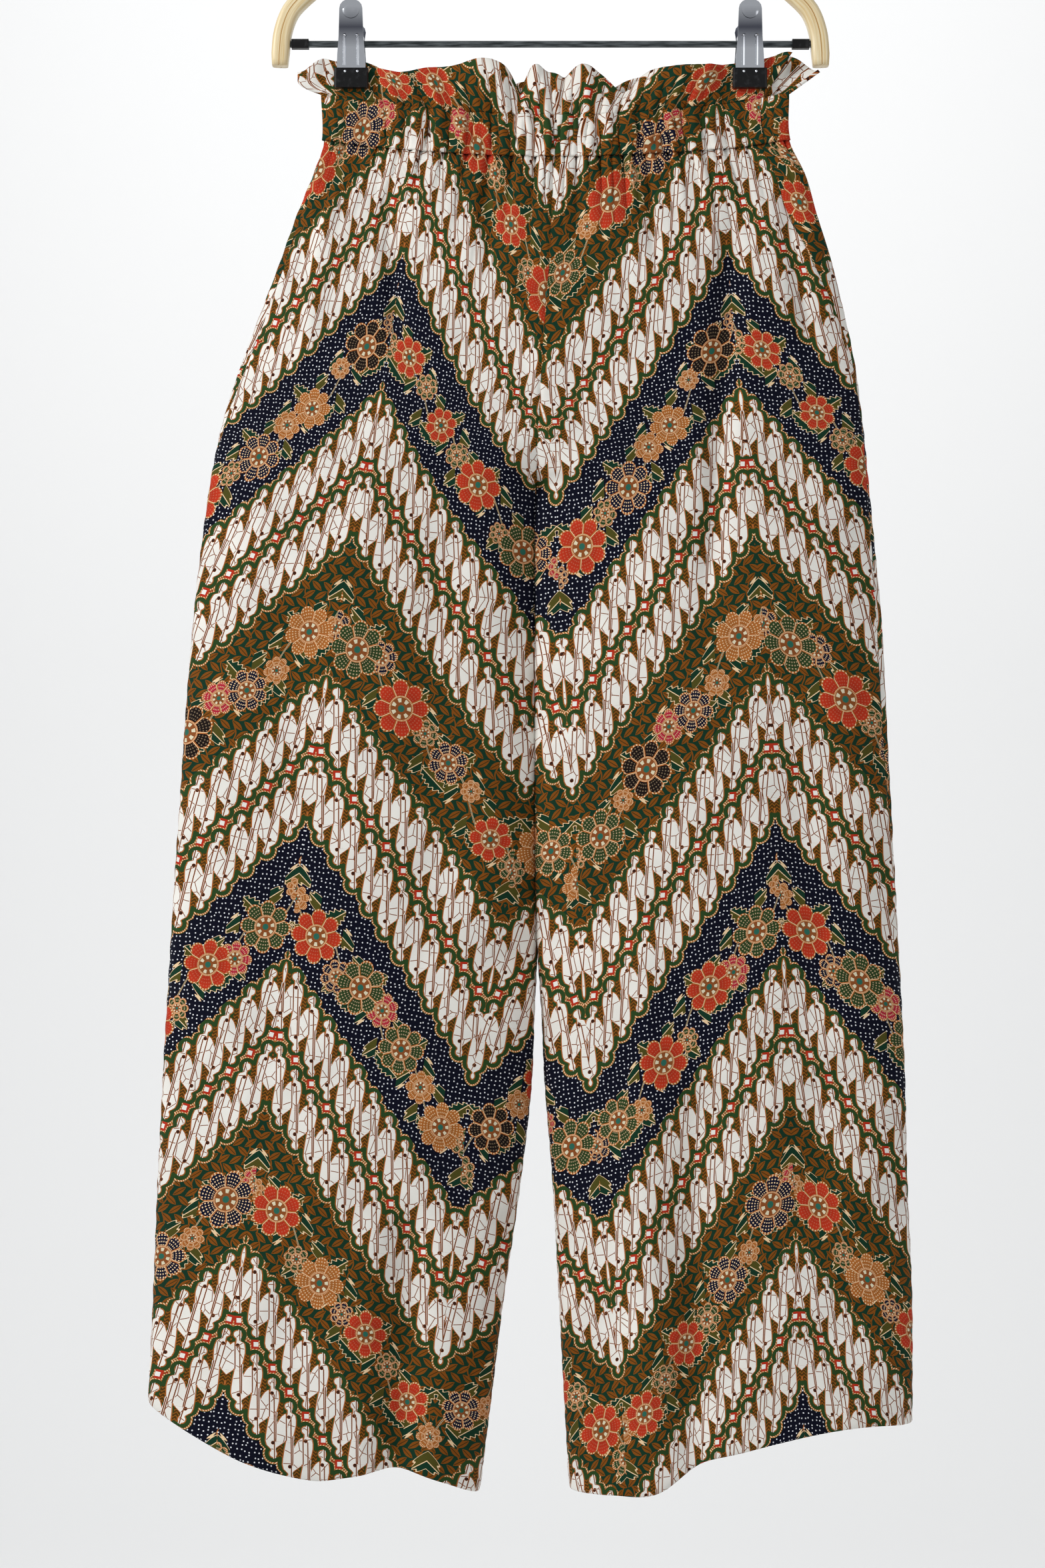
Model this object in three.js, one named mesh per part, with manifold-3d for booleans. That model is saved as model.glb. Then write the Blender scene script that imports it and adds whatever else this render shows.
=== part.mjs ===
// Gathered-waist lounge trousers, hung flat from two clips on a wooden hanger.
// Millimetres. The front faces -Y, X runs to the right in the front view, Z is up.
// The origin is the point of the hook that bears on a rail. Right and left are the wearer's,
// so the right leg is on the -X side.
import * as THREE from 'three';
import { mergeVertices } from 'three/addons/utils/BufferGeometryUtils.js';
import Module from 'manifold-3d';

const wasm = await Module();
wasm.setup();

// Driving dimensions of the cloth
const LEG_WALL = 1.6;
const CASING_WALL = 2.4;
const HEM_WALL = 2.8;
const HEM_DEPTH = 15;
const SEAM_GAP = 0.3;
const FRILL_HEIGHT = 30;
const CASING_TOP = { side: -204.5, middle: -221.8 };
const CASING_BOTTOM = { side: -237, middle: -251.6 };
const CROTCH = -476;
const CROTCH_CURVE_TOP = -396;
const HIP_CHANGE = { top: -330, bottom: -600 };
const WAIST_LEVEL = CASING_BOTTOM.middle;
const WAIST_CENTRE = 3;
const WAIST_FOLDS = { right: -158.4, left: 165.4 };
const GATHER_DEPTH = 2.3;
const GATHERS_PER_HALF = 11;
const CASING_PUFF = 1.2;
const NIP = 0.95;
const CASING_NIP = 1.4;

// Driving dimensions of the hanger
const BAR_LEVEL = -170;
const BAR = { height: 4.2, thickness: 3.4, halfLength: 187 };
const CLIP_X = 138.7;
const CLIP_REACH = 16;
const BOW_SECTION = { across: 12.4, deep: 13 };
const BOW_TIP = { x: 188.6, z: -185.2 };
const BOW_EDGE = 3.4;
const HOOK = { wire: 3.6, bend: 21.8, foot: -90.2 };
const SLEEVE = { height: 7.4, depth: 6.6, edge: 1.5, length: 11.9, from: 168.6 };

// The garment's outline from the front, and how far its front and back stand off its middle plane.
// The folds are its outer edges, and the inner columns its centre line and, below the crotch,
// the inner edges of the two legs.
const SECTIONS = [
  { z: -170, rightFold: -159, rightInner: 3, leftInner: 3, leftFold: 165, front: 8, back: 8 },
  { z: -205, rightFold: -158.6, rightInner: 3, leftInner: 3, leftFold: 165.1, front: 9, back: 9 },
  { z: -237, rightFold: -158, rightInner: 3, leftInner: 3, leftFold: 166, front: 12, back: 12 },
  { z: -262, rightFold: -165.7, rightInner: 2, leftInner: 2, leftFold: 178.4, front: 18, back: 17 },
  { z: -290, rightFold: -176.6, rightInner: 1, leftInner: 1, leftFold: 186, front: 23, back: 23 },
  { z: -325, rightFold: -189.3, rightInner: -1, leftInner: -1, leftFold: 195.9, front: 28, back: 29 },
  { z: -385, rightFold: -211.6, rightInner: -5.5, leftInner: -5.5, leftFold: 210.2, front: 33, back: 36 },
  { z: -430, rightFold: -226.9, rightInner: -8, leftInner: -8, leftFold: 216.8, front: 36, back: 40 },
  { z: -476, rightFold: -236.7, rightInner: -10.8, leftInner: -8.8, leftFold: 221.3, front: 38, back: 42 },
  { z: -570, rightFold: -248.3, rightInner: -10.8, leftInner: -8.8, leftFold: 229.6, front: 40, back: 42 },
  { z: -715, rightFold: -259, rightInner: -10.9, leftInner: -8.7, leftFold: 237.7, front: 41, back: 41 },
  { z: -880, rightFold: -269.2, rightInner: -12.5, leftInner: -4.6, leftFold: 246, front: 42, back: 40 },
  { z: -960, rightFold: -273.1, rightInner: -20.6, leftInner: 1.5, leftFold: 248.2, front: 42, back: 40 },
  { z: -1050, rightFold: -276.7, rightInner: -33.6, leftInner: 6.5, leftFold: 251.4, front: 43, back: 41 },
  { z: -1115, rightFold: -279.5, rightInner: -41.6, leftInner: 9.9, leftFold: 251.6, front: 44, back: 42 },
  { z: -1185, rightFold: -281, rightInner: -50.5, leftInner: 14, leftFold: 251.6, front: 44, back: 42 },
];

// Levels of the hem, from a leg's outer fold (across 0) to its inner edge (across 1).
const HEMS = [
  { across: 0, rightFront: -1114, rightBack: -1114, leftFront: -1128, leftBack: -1128 },
  { across: 0.15, rightFront: -1132, rightBack: -1122, leftFront: -1126, leftBack: -1131 },
  { across: 0.3, rightFront: -1148, rightBack: -1134, leftFront: -1130, leftBack: -1137 },
  { across: 0.5, rightFront: -1160, rightBack: -1146, leftFront: -1141, leftBack: -1146 },
  { across: 0.62, rightFront: -1158, rightBack: -1153, leftFront: -1150, leftBack: -1152 },
  { across: 0.75, rightFront: -1155, rightBack: -1160, leftFront: -1170, leftBack: -1159 },
  { across: 0.88, rightFront: -1164, rightBack: -1169, leftFront: -1173, leftBack: -1167 },
  { across: 1, rightFront: -1176, rightBack: -1176, leftFront: -1174, leftBack: -1174 },
];

// How far the side seams have rolled from the outer folds on to the front.
const SEAM_ROLLS = [
  { z: -170, right: 0, left: 16 },
  { z: -237, right: 0, left: 19 },
  { z: -262, right: 0, left: 22 },
  { z: -292, right: 2, left: 22 },
  { z: -325, right: 4, left: 15 },
  { z: -360, right: 5, left: 6 },
  { z: -400, right: 4, left: 1 },
  { z: -470, right: 0, left: 1 },
  { z: -560, right: 0, left: 3.5 },
  { z: -670, right: 0, left: 3.5 },
  { z: -740, right: 0, left: 0 },
  { z: -1185, right: 0, left: 0 },
];

// Folds of the panels. Each runs from its top to its bottom, and is a trough where push is
// positive, pressed into the garment, or a ridge where it is negative.
const FOLDS = [
  { face: 'front', topX: -112, topZ: -262, bottomX: -106, bottomZ: -402, width: 7, push: 5 },
  { face: 'front', topX: -44, topZ: -255, bottomX: -42, bottomZ: -345, width: 6, push: 5 },
  { face: 'front', topX: 22, topZ: -255, bottomX: 16, bottomZ: -330, width: 6, push: 3 },
  { face: 'front', topX: 68, topZ: -255, bottomX: 72, bottomZ: -335, width: 6, push: 4 },
  { face: 'front', topX: 128, topZ: -262, bottomX: 104, bottomZ: -610, width: 9, push: 8 },
  { face: 'front', topX: 160, topZ: -262, bottomX: 182, bottomZ: -400, width: 7, push: 5 },
  { face: 'front', topX: -148, topZ: -262, bottomX: -176, bottomZ: -420, width: 8, push: -3 },
  { face: 'front', topX: -70, topZ: -420, bottomX: -84, bottomZ: -900, width: 20, push: 4 },
  { face: 'front', topX: -170, topZ: -520, bottomX: -196, bottomZ: -1000, width: 22, push: 4 },
  { face: 'front', topX: -96, topZ: -960, bottomX: -112, bottomZ: -1230, width: 15, push: 13 },
  { face: 'front', topX: -200, topZ: -980, bottomX: -206, bottomZ: -1230, width: 18, push: -3 },
  { face: 'front', topX: 60, topZ: -720, bottomX: 66, bottomZ: -1230, width: 17, push: -7 },
  { face: 'front', topX: 102, topZ: -860, bottomX: 100, bottomZ: -1230, width: 15, push: 9 },
  { face: 'front', topX: 172, topZ: -560, bottomX: 186, bottomZ: -1100, width: 22, push: 5 },
  { face: 'back', topX: -120, topZ: -262, bottomX: -112, bottomZ: -420, width: 8, push: 5 },
  { face: 'back', topX: -52, topZ: -255, bottomX: -60, bottomZ: -390, width: 7, push: 5 },
  { face: 'back', topX: 40, topZ: -255, bottomX: 52, bottomZ: -380, width: 7, push: 5 },
  { face: 'back', topX: 116, topZ: -262, bottomX: 124, bottomZ: -470, width: 9, push: 6 },
  { face: 'back', topX: -150, topZ: -560, bottomX: -182, bottomZ: -1230, width: 20, push: 9 },
  { face: 'back', topX: -92, topZ: -700, bottomX: -118, bottomZ: -1230, width: 16, push: -5 },
  { face: 'back', topX: 80, topZ: -620, bottomX: 92, bottomZ: -1230, width: 18, push: 8 },
  { face: 'back', topX: 168, topZ: -760, bottomX: 172, bottomZ: -1230, width: 17, push: -5 },
];

// Waves of the frill's free edge: how much each lifts it, and how far it brings it forward.
const FRILL_WAVES = {
  front: [
    { x: -175, width: 15, lift: -20, forward: 0 },
    { x: -150, width: 7, lift: -3, forward: 2 },
    { x: -106, width: 15, lift: -7, forward: 5 },
    { x: -46, width: 20, lift: 7, forward: 9 },
    { x: -20, width: 7, lift: -14, forward: -7 },
    { x: -6, width: 8, lift: 0, forward: 5 },
    { x: 9, width: 5, lift: -3, forward: -4 },
    { x: 24, width: 9, lift: 3, forward: 5 },
    { x: 52, width: 12, lift: -13, forward: -5 },
    { x: 92, width: 17, lift: 0, forward: 7 },
    { x: 164, width: 12, lift: 2, forward: 2 },
    { x: 187, width: 12, lift: -14, forward: 0 },
  ],
  back: [
    { x: -175, width: 15, lift: -20, forward: 0 },
    { x: -104, width: 14, lift: -5, forward: 6 },
    { x: -70, width: 11, lift: 1, forward: -4 },
    { x: -38, width: 13, lift: -6, forward: 7 },
    { x: -2, width: 10, lift: 1, forward: -3 },
    { x: 34, width: 14, lift: -7, forward: 7 },
    { x: 66, width: 11, lift: 0, forward: -4 },
    { x: 100, width: 14, lift: -5, forward: 6 },
    { x: 187, width: 12, lift: -14, forward: 0 },
  ],
};
const FRILL_TIPS = { right: -175.3, left: 187.4 };

// Ways close to an outer fold, where the cloth turns sharply.
const FOLD_WAYS = [0.03, 0.07];
const HEM_SLANT_TOP = -820;

// Small maths helpers
const clamp = (value, low, high) => Math.min(high, Math.max(low, value));
const mix = (a, b, t) => a + (b - a) * t;
const smooth = (low, high, value) => {
  const t = clamp((value - low) / (high - low), 0, 1);
  return t * t * (3 - 2 * t);
};
const bell = (distance, width) => Math.exp(-((distance / width) ** 2));

// Rises from 0 to 1 as a quarter round over the first hundredth or so of a half's width, so
// that front and back close in a round fold.
const foldRound = (share) => Math.sqrt(1 - (1 - Math.min(1, share / 0.013)) ** 2);

// Reads a column of a table at any place between its rows, on a smooth curve through them.
function readTable(table, key, column, at) {
  const rising = table[1][key] > table[0][key];
  let i = table.findIndex((row) => (rising ? row[key] > at : row[key] < at));
  if (i < 0) i = table.length - 1;
  i = clamp(i, 1, table.length - 1);
  const slope = (k) => {
    const low = table[Math.max(k - 1, 0)];
    const high = table[Math.min(k + 1, table.length - 1)];
    return (high[column] - low[column]) / (high[key] - low[key]);
  };
  const span = table[i][key] - table[i - 1][key];
  const t = clamp((at - table[i - 1][key]) / span, 0, 1);
  const h = t * t * (3 - 2 * t);
  const tangentA = slope(i - 1) * span * (t - 2 * t * t + t * t * t);
  const tangentB = slope(i) * span * (t * t * t - t * t);
  return table[i - 1][column] * (1 - h) + table[i][column] * h + tangentA + tangentB;
}

const section = (column, z) => readTable(SECTIONS, 'z', column, z);

// The garment is read by side (right or left), by a way round the leg and by level. The way
// goes from 0 at the outer fold to 1 at the inner edge over the front, and to -1 over the back.
const across = (way) => (1 - Math.cos(Math.PI * Math.abs(way))) / 2;
const wayAt = (share) => Math.acos(1 - 2 * clamp(share, 0, 1)) / Math.PI;

// The casing's edges sag between the clips, as a shallow bow.
const waistX = (side, share) => mix(WAIST_FOLDS[side], WAIST_CENTRE, share);
function sagged(edge, share) {
  return mix(edge.middle, edge.side, (1 - share) ** 2);
}

// How much of a level's section is still one round of both hips, and not two of the legs. The
// centre line turns under in a quarter round to the crotch, and the sides change over slowly.
function hipShare(z, share) {
  const t = clamp((CROTCH_CURVE_TOP - z) / (CROTCH_CURVE_TOP - CROTCH), 0, 1);
  const centre = Math.sqrt(1 - t * t);
  return mix(smooth(HIP_CHANGE.bottom, HIP_CHANGE.top, z), centre, smooth(0.55, 0.97, share));
}

// Uneven gathers run down from the casing and fade, each at its own length.
function gatherPhase(halfShare, side) {
  const lead = side === 'right' ? 0.4 : 1.7;
  const drift = 0.35 * Math.sin(5.1 * halfShare + lead) + 0.2 * Math.sin(11.7 * halfShare - lead);
  return 2 * Math.PI * GATHERS_PER_HALF * halfShare + drift;
}

function gatherPush(halfShare, z, side, face) {
  const lead = (side === 'right' ? 0.7 : 2.9) + (face === 'front' ? 0 : 1.3);
  const length = 46 + 20 * Math.sin(9.3 * halfShare + lead) + 12 * Math.sin(21.1 * halfShare - lead);
  const drop = Math.max(0, WAIST_LEVEL + 14 - z) / length;
  const fade = Math.exp(-(drop ** 1.4));
  const shift = face === 'front' ? 0 : 2.1;
  const height = 0.75 + 0.25 * Math.sin(14.3 * halfShare + lead);
  return GATHER_DEPTH * height * fade * Math.cos(gatherPhase(halfShare, side) + shift);
}

function foldPush(x, z, face) {
  let push = 0;
  for (const fold of FOLDS) {
    if (fold.face !== face) continue;
    const along = (fold.topZ - z) / (fold.topZ - fold.bottomZ);
    if (along <= 0 || along >= 1) continue;
    const ends = smooth(0, 0.22, along) * (1 - smooth(0.7, 1, along));
    push += fold.push * ends * bell(x - mix(fold.topX, fold.bottomX, along), fold.width);
  }
  return push;
}

// 1 where the jaws nip the cloth, fading sideways and down from them.
function nipShare(x, z) {
  const sideways = bell(Math.abs(x) - CLIP_X, 30);
  const flat = 1 - smooth(CLIP_REACH, CLIP_REACH + 16, Math.abs(Math.abs(x) - CLIP_X));
  return Math.max(flat * smooth(-222, -203, z), 0.85 * sideways * smooth(-320, -205, z));
}

// A point of the cloth's middle surface.
function clothPoint(side, way, z, nip = NIP) {
  const face = way >= 0 ? 'front' : 'back';
  const share = across(way);
  const fold = section(`${side}Fold`, z);
  const x = mix(fold, section(`${side}Inner`, z), share);
  const legRound = (4 * share * (1 - share)) ** 0.4;
  const hipRound = (1 - (1 - share) ** 2) ** 0.4;
  const bulge = section(face, z) * mix(legRound, hipRound, hipShare(z, share));
  const nipped = mix(bulge, nip * foldRound(share), nipShare(x, z));
  const edge = smooth(0, 0.09, share);
  const inner = mix(smooth(0, 0.09, 1 - share), 1, hipShare(z, 1));
  const loose = 1 - nipShare(x, z);
  const gathers = gatherPush(share, z, side, face) * edge * mix(0.1, 1, loose);
  const folds = foldPush(x, z, face) * edge * inner * loose;
  const stand = Math.max(nipped - gathers - folds, nip * foldRound(share));
  return [x, face === 'front' ? -stand : stand, z];
}

// A point of the frill: rise 0 is the casing's upper edge and rise 1 the frill's free edge.
function frillPoint(side, way, rise) {
  const face = way >= 0 ? 'front' : 'back';
  const share = across(way);
  const root = clothPoint(side, way, sagged(CASING_TOP, share));
  const freeX = mix(FRILL_TIPS[side], WAIST_CENTRE, share);
  let freeZ = sagged(CASING_TOP, share) + FRILL_HEIGHT;
  let stand = 7;
  for (const wave of FRILL_WAVES[face]) {
    freeZ += wave.lift * bell(freeX - wave.x, wave.width);
    stand += wave.forward * bell(freeX - wave.x, wave.width);
  }
  if (face === 'back') freeZ -= 2 * smooth(0, 0.2, share);
  const round = smooth(0, 0.16, share) * 0.8 + foldRound(share) * 0.2;
  stand *= round;
  const x = mix(root[0], freeX, rise);
  const bow = Math.sin(Math.PI * rise) * 1.5 * smooth(0, 0.1, share);
  const loose = mix(Math.abs(root[1]), stand, rise) + bow;
  const fromJaws = Math.abs(Math.abs(x) - CLIP_X);
  const jaws = (1 - smooth(CLIP_REACH, CLIP_REACH + 13, fromJaws)) * smooth(0, 0.1, rise);
  const nipped = Math.max(mix(loose, 0, jaws), NIP * foldRound(share));
  return [x, face === 'front' ? -nipped : nipped, mix(root[2], freeZ, rise)];
}

// Where the side seam lies, as a way round the leg.
function seamWay(side, z) {
  const roll = Math.max(0, readTable(SEAM_ROLLS, 'z', side, z));
  const width = Math.abs(section(`${side}Inner`, z) - section(`${side}Fold`, z));
  return wayAt(roll / width);
}

// A wall of cloth: rows of points of different counts, joined into a closed body.
// Each row is a list of { outer, inner, at }, with at growing along the row.
function wallGeometry(rows) {
  const positions = [];
  const starts = [];
  for (const row of rows) {
    starts.push(positions.length / 3);
    for (const point of row) positions.push(...point.outer);
  }
  const innerShift = positions.length / 3;
  for (const row of rows) {
    for (const point of row) positions.push(...point.inner);
  }
  const triangles = [];
  const addOuter = (a, b, c) => {
    triangles.push(a, b, c);
    triangles.push(a + innerShift, c + innerShift, b + innerShift);
  };
  for (let r = 0; r + 1 < rows.length; r += 1) {
    let i = 0;
    let j = 0;
    const upper = rows[r];
    const lower = rows[r + 1];
    while (i + 1 < upper.length || j + 1 < lower.length) {
      const nextUpper = i + 1 < upper.length ? upper[i + 1].at : Infinity;
      const nextLower = j + 1 < lower.length ? lower[j + 1].at : Infinity;
      if (nextUpper <= nextLower) {
        addOuter(starts[r] + i, starts[r + 1] + j, starts[r] + i + 1);
        i += 1;
      } else {
        addOuter(starts[r] + i, starts[r + 1] + j, starts[r + 1] + j + 1);
        j += 1;
      }
    }
  }
  const addEdge = (a, b) => {
    triangles.push(a, b, b + innerShift);
    triangles.push(a, b + innerShift, a + innerShift);
  };
  const last = rows.length - 1;
  for (let i = 0; i + 1 < rows[0].length; i += 1) addEdge(starts[0] + i, starts[0] + i + 1);
  for (let i = 0; i + 1 < rows[last].length; i += 1) {
    addEdge(starts[last] + i + 1, starts[last] + i);
  }
  for (let r = 0; r < last; r += 1) {
    addEdge(starts[r + 1], starts[r]);
    addEdge(starts[r] + rows[r].length - 1, starts[r + 1] + rows[r + 1].length - 1);
  }
  const geometry = new THREE.BufferGeometry();
  geometry.setAttribute('position', new THREE.Float32BufferAttribute(positions, 3));
  geometry.setIndex(triangles);
  faceOutwards(geometry);
  geometry.computeVertexNormals();
  return geometry;
}

// Turns a closed body's triangles over where they face inwards.
function faceOutwards(geometry) {
  if (signedVolume(geometry) >= 0) return;
  const index = Array.from(geometry.index.array);
  for (let i = 0; i < index.length; i += 3) [index[i + 1], index[i + 2]] = [index[i + 2], index[i + 1]];
  geometry.setIndex(index);
}

function signedVolume(geometry) {
  const p = geometry.attributes.position;
  const index = geometry.index.array;
  let volume = 0;
  const [a, b, c] = [new THREE.Vector3(), new THREE.Vector3(), new THREE.Vector3()];
  for (let i = 0; i < index.length; i += 3) {
    a.fromBufferAttribute(p, index[i]);
    b.fromBufferAttribute(p, index[i + 1]);
    c.fromBufferAttribute(p, index[i + 2]);
    volume += a.dot(b.cross(c)) / 6;
  }
  return volume;
}

// Finds the value between low and high at which a rising function reaches a target.
function solveRising(fn, target, low, high) {
  for (let i = 0; i < 40; i += 1) {
    const middle = (low + high) / 2;
    if (fn(middle) < target) low = middle;
    else high = middle;
  }
  return (low + high) / 2;
}

// Ways round a half that fall on the crests, troughs and middles of its gathers.
function gatherWays(side, stepsPerGather) {
  const ways = [];
  const end = gatherPhase(1, side);
  const step = (2 * Math.PI) / stepsPerGather;
  for (let phase = gatherPhase(0, side) + step; phase < end - step * 0.4; phase += step) {
    const share = solveRising((value) => gatherPhase(value, side), phase, 0, 1);
    ways.push(wayAt(share));
  }
  return ways.filter((way) => way > 0.1 && way < 0.985);
}

// Evenly spaced ways, clear of the fold.
function evenWays(count) {
  return Array.from({ length: count - 1 }, (_, i) => 0.1 + (0.9 * (i + 0.4)) / count);
}

// One point of a cloth wall, from a function that gives the middle surface at a way round the
// garment and a small shift of level. A point on a seam moves back by half the seam's gap, and
// one on a level edge has a level end face.
function wallPoint(side, way, pointAt, { outer, inner, seam = 0, level = false, puff = 0 }) {
  const at = (place, shift) => new THREE.Vector3(...pointAt(clamp(place, -1, 1), shift));
  const tangent = at(way + 0.004, 0).sub(at(way - 0.004, 0));
  const upward = at(way, 0.6).sub(at(way, -0.6));
  const normal = tangent.clone().cross(upward).multiplyScalar(side === 'right' ? 1 : -1);
  if (level) normal.z = 0;
  normal.normalize();
  const middle = at(way, 0).addScaledVector(tangent.normalize(), (seam * SEAM_GAP) / 2);
  const outerPoint = middle.clone().addScaledVector(normal, outer + puff);
  const innerPoint = middle.clone().addScaledVector(normal, puff - inner);
  return {
    outer: keepApart(outerPoint.toArray(), way),
    inner: keepApart(innerPoint.toArray(), way),
  };
}

// Front and back never cross the garment's middle plane.
function keepApart(point, way) {
  if (way > 0) point[1] = Math.min(point[1], -SEAM_GAP / 2);
  if (way < 0) point[1] = Math.max(point[1], SEAM_GAP / 2);
  return point;
}

// The two halves never cross the centre line above the crotch.
function keepToSide(point, side) {
  const limit = (section('rightInner', point[2]) + section('leftInner', point[2])) / 2;
  const half = SEAM_GAP / 2;
  point[0] = side === 'right' ? Math.min(point[0], limit - half) : Math.max(point[0], limit + half);
  return point;
}

// The ways round a half that a panel's row has points at, from its side seam inward. A back
// panel whose seam has rolled forward starts on the front and passes round the fold.
function rowWays(face, seam, inside) {
  const start = face === 'front' ? seam : -seam;
  const round = face === 'back' && seam > 0.05 ? [-seam / 2, 0] : [];
  const rest = [...FOLD_WAYS, ...inside].filter((way) => way > start + 0.02);
  return [start, ...round, ...rest];
}

// Rows of a leg panel, as levels at its inner edge, with the points in each.
const LEG_ROWS = [
  { z: WAIST_LEVEL - SEAM_GAP / 2, perGather: 4 },
  { z: -268, perGather: 4 },
  { z: -292, perGather: 2 },
  { z: -324, perGather: 2 },
  { z: -365, count: 18 },
  { z: -410, count: 18 },
  { z: -444, count: 18 },
  { z: -465, count: 18 },
  { z: CROTCH, count: 18 },
  { z: -510, count: 16 },
  { z: -570, count: 14 },
  { z: -650, count: 14 },
  { z: -740, count: 14 },
  { z: -830, count: 14 },
  { z: -910, count: 14 },
  { z: -980, count: 16 },
  { z: -1040, count: 16 },
  { z: -1090, count: 18 },
  { z: -1130, count: 18 },
];
const HEM_COUNT = 20;

const hemLevel = (side, face, share) => {
  const column = `${side}${face === 'front' ? 'Front' : 'Back'}`;
  return readTable(HEMS, 'across', column, share);
};

// The level of a row at a way round the leg: rows follow the casing's sag at the top and the
// hem's slant at the bottom, and are level between.
function rowLevel(side, way, z) {
  const share = across(way);
  const face = way >= 0 ? 'front' : 'back';
  const sag = sagged(CASING_BOTTOM, share) - CASING_BOTTOM.middle;
  const nearWaist = 1 - smooth(-WAIST_LEVEL, -CROTCH_CURVE_TOP, -z);
  const hemAtInner = hemLevel(side, face, 1);
  const slant = hemLevel(side, face, share) - hemAtInner;
  const nearHem = clamp((HEM_SLANT_TOP - z) / (HEM_SLANT_TOP - hemAtInner), 0, 1);
  return z + sag * nearWaist + slant * nearHem ** 1.5;
}

function legPanel(side, face) {
  const turn = face === 'front' ? 1 : -1;
  const half = LEG_WALL / 2;
  const hem = hemLevel(side, face, 1);
  const plain = { outer: half, inner: half };
  const turned = { outer: half, inner: HEM_WALL - half };
  const levels = [
    ...LEG_ROWS.map((row) => ({ ...row, wall: plain })),
    { z: hem + HEM_DEPTH + 1, count: HEM_COUNT, wall: plain },
    { z: hem + HEM_DEPTH, count: HEM_COUNT, wall: turned },
    { z: hem, count: HEM_COUNT, wall: turned },
  ];
  const rows = levels.map(({ z, perGather, count, wall }, index) => {
    const inside = perGather ? gatherWays(side, perGather) : evenWays(count);
    const ways = [...rowWays(face, seamWay(side, z), inside), 1];
    const pointAt = (way, shift) => clothPoint(side, way, rowLevel(side, way, z) + shift);
    return ways.map((way, i) => {
      const seam = i === 0 ? turn : (i === ways.length - 1 ? -turn : 0);
      const made = wallPoint(side, way * turn, pointAt, { ...wall, seam, level: index === 0 });
      if (way > 0.9 && z >= CROTCH) {
        keepToSide(made.outer, side);
        keepToSide(made.inner, side);
      }
      return { ...made, at: (way - ways[0]) / (1 - ways[0]) };
    });
  });
  return wallGeometry(rows);
}

// The casing and the frill run right across, from one side seam to the other. Each row gives a
// function for the middle surface and the wall there.
function band(face, rows) {
  const turn = face === 'front' ? 1 : -1;
  const made = rows.map(({ perGather, seamLevel, surface, wall, level = false, puffAt }) => {
    const row = [];
    for (const side of ['right', 'left']) {
      const ways = rowWays(face, seamWay(side, seamLevel), gatherWays(side, perGather));
      if (side === 'right') ways.push(1);
      const points = ways.map((way, i) => {
        const pointAt = (place, shift) => surface(side, place, shift);
        const puff = puffAt ? puffAt(side, way * turn) : 0;
        const seam = i === 0 ? turn : 0;
        const faces = { outer: wall / 2, inner: wall / 2, seam, level, puff };
        return wallPoint(side, way * turn, pointAt, faces);
      });
      row.push(...(side === 'right' ? points : points.reverse()));
    }
    return row.map((point, i) => ({ ...point, at: i / (row.length - 1) }));
  });
  return wallGeometry(made);
}

function casing(face) {
  const surfaceAt = (down) => (side, way, shift) => {
    const share = across(way);
    const top = sagged(CASING_TOP, share) - SEAM_GAP / 2;
    const bottom = sagged(CASING_BOTTOM, share) + SEAM_GAP / 2;
    return clothPoint(side, way, mix(top, bottom, down) + shift, CASING_NIP);
  };
  const puffAt = (side, way) => {
    const share = across(way);
    const z = (sagged(CASING_TOP, share) + sagged(CASING_BOTTOM, share)) / 2;
    return CASING_PUFF * smooth(0.02, 0.1, share) * (1 - nipShare(waistX(side, share), z));
  };
  const row = { perGather: 4, seamLevel: -220, wall: CASING_WALL };
  return band(face, [
    { ...row, surface: surfaceAt(0), level: true },
    { ...row, surface: surfaceAt(0.5), puffAt },
    { ...row, surface: surfaceAt(1), level: true },
  ]);
}

function frill(face) {
  const surfaceAt = (rise) => (side, way, shift) => {
    const point = frillPoint(side, way, rise + shift / FRILL_HEIGHT);
    if (rise === 0) point[2] += SEAM_GAP / 2;
    return point;
  };
  const row = { seamLevel: -200, wall: LEG_WALL };
  return band(face, [
    { ...row, perGather: 4, surface: surfaceAt(0), level: true },
    { ...row, perGather: 3, surface: surfaceAt(0.1) },
    { ...row, perGather: 3, surface: surfaceAt(0.55) },
    { ...row, perGather: 3, surface: surfaceAt(1) },
  ]);
}

// A closed body swept along a path in the XZ plane. The section is a list of
// [inPlane, deep] offsets, and the path's ends are closed flat.
function sweepInPlane(path, profile) {
  const positions = [];
  path.forEach((point, i) => {
    const before = path[Math.max(i - 1, 0)];
    const after = path[Math.min(i + 1, path.length - 1)];
    const angle = Math.atan2(after[1] - before[1], after[0] - before[0]);
    for (const [inPlane, deep] of profile) {
      positions.push(point[0] - Math.sin(angle) * inPlane, deep, point[1] + Math.cos(angle) * inPlane);
    }
  });
  const count = profile.length;
  const triangles = [];
  for (let i = 0; i + 1 < path.length; i += 1) {
    for (let j = 0; j < count; j += 1) {
      const a = i * count + j;
      const b = i * count + ((j + 1) % count);
      triangles.push(a, b, b + count, a, b + count, a + count);
    }
  }
  const last = (path.length - 1) * count;
  for (let j = 1; j + 1 < count; j += 1) {
    triangles.push(0, j + 1, j);
    triangles.push(last, last + j, last + j + 1);
  }
  const geometry = new THREE.BufferGeometry();
  geometry.setAttribute('position', new THREE.Float32BufferAttribute(positions, 3));
  geometry.setIndex(triangles);
  faceOutwards(geometry);
  return geometry;
}

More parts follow.
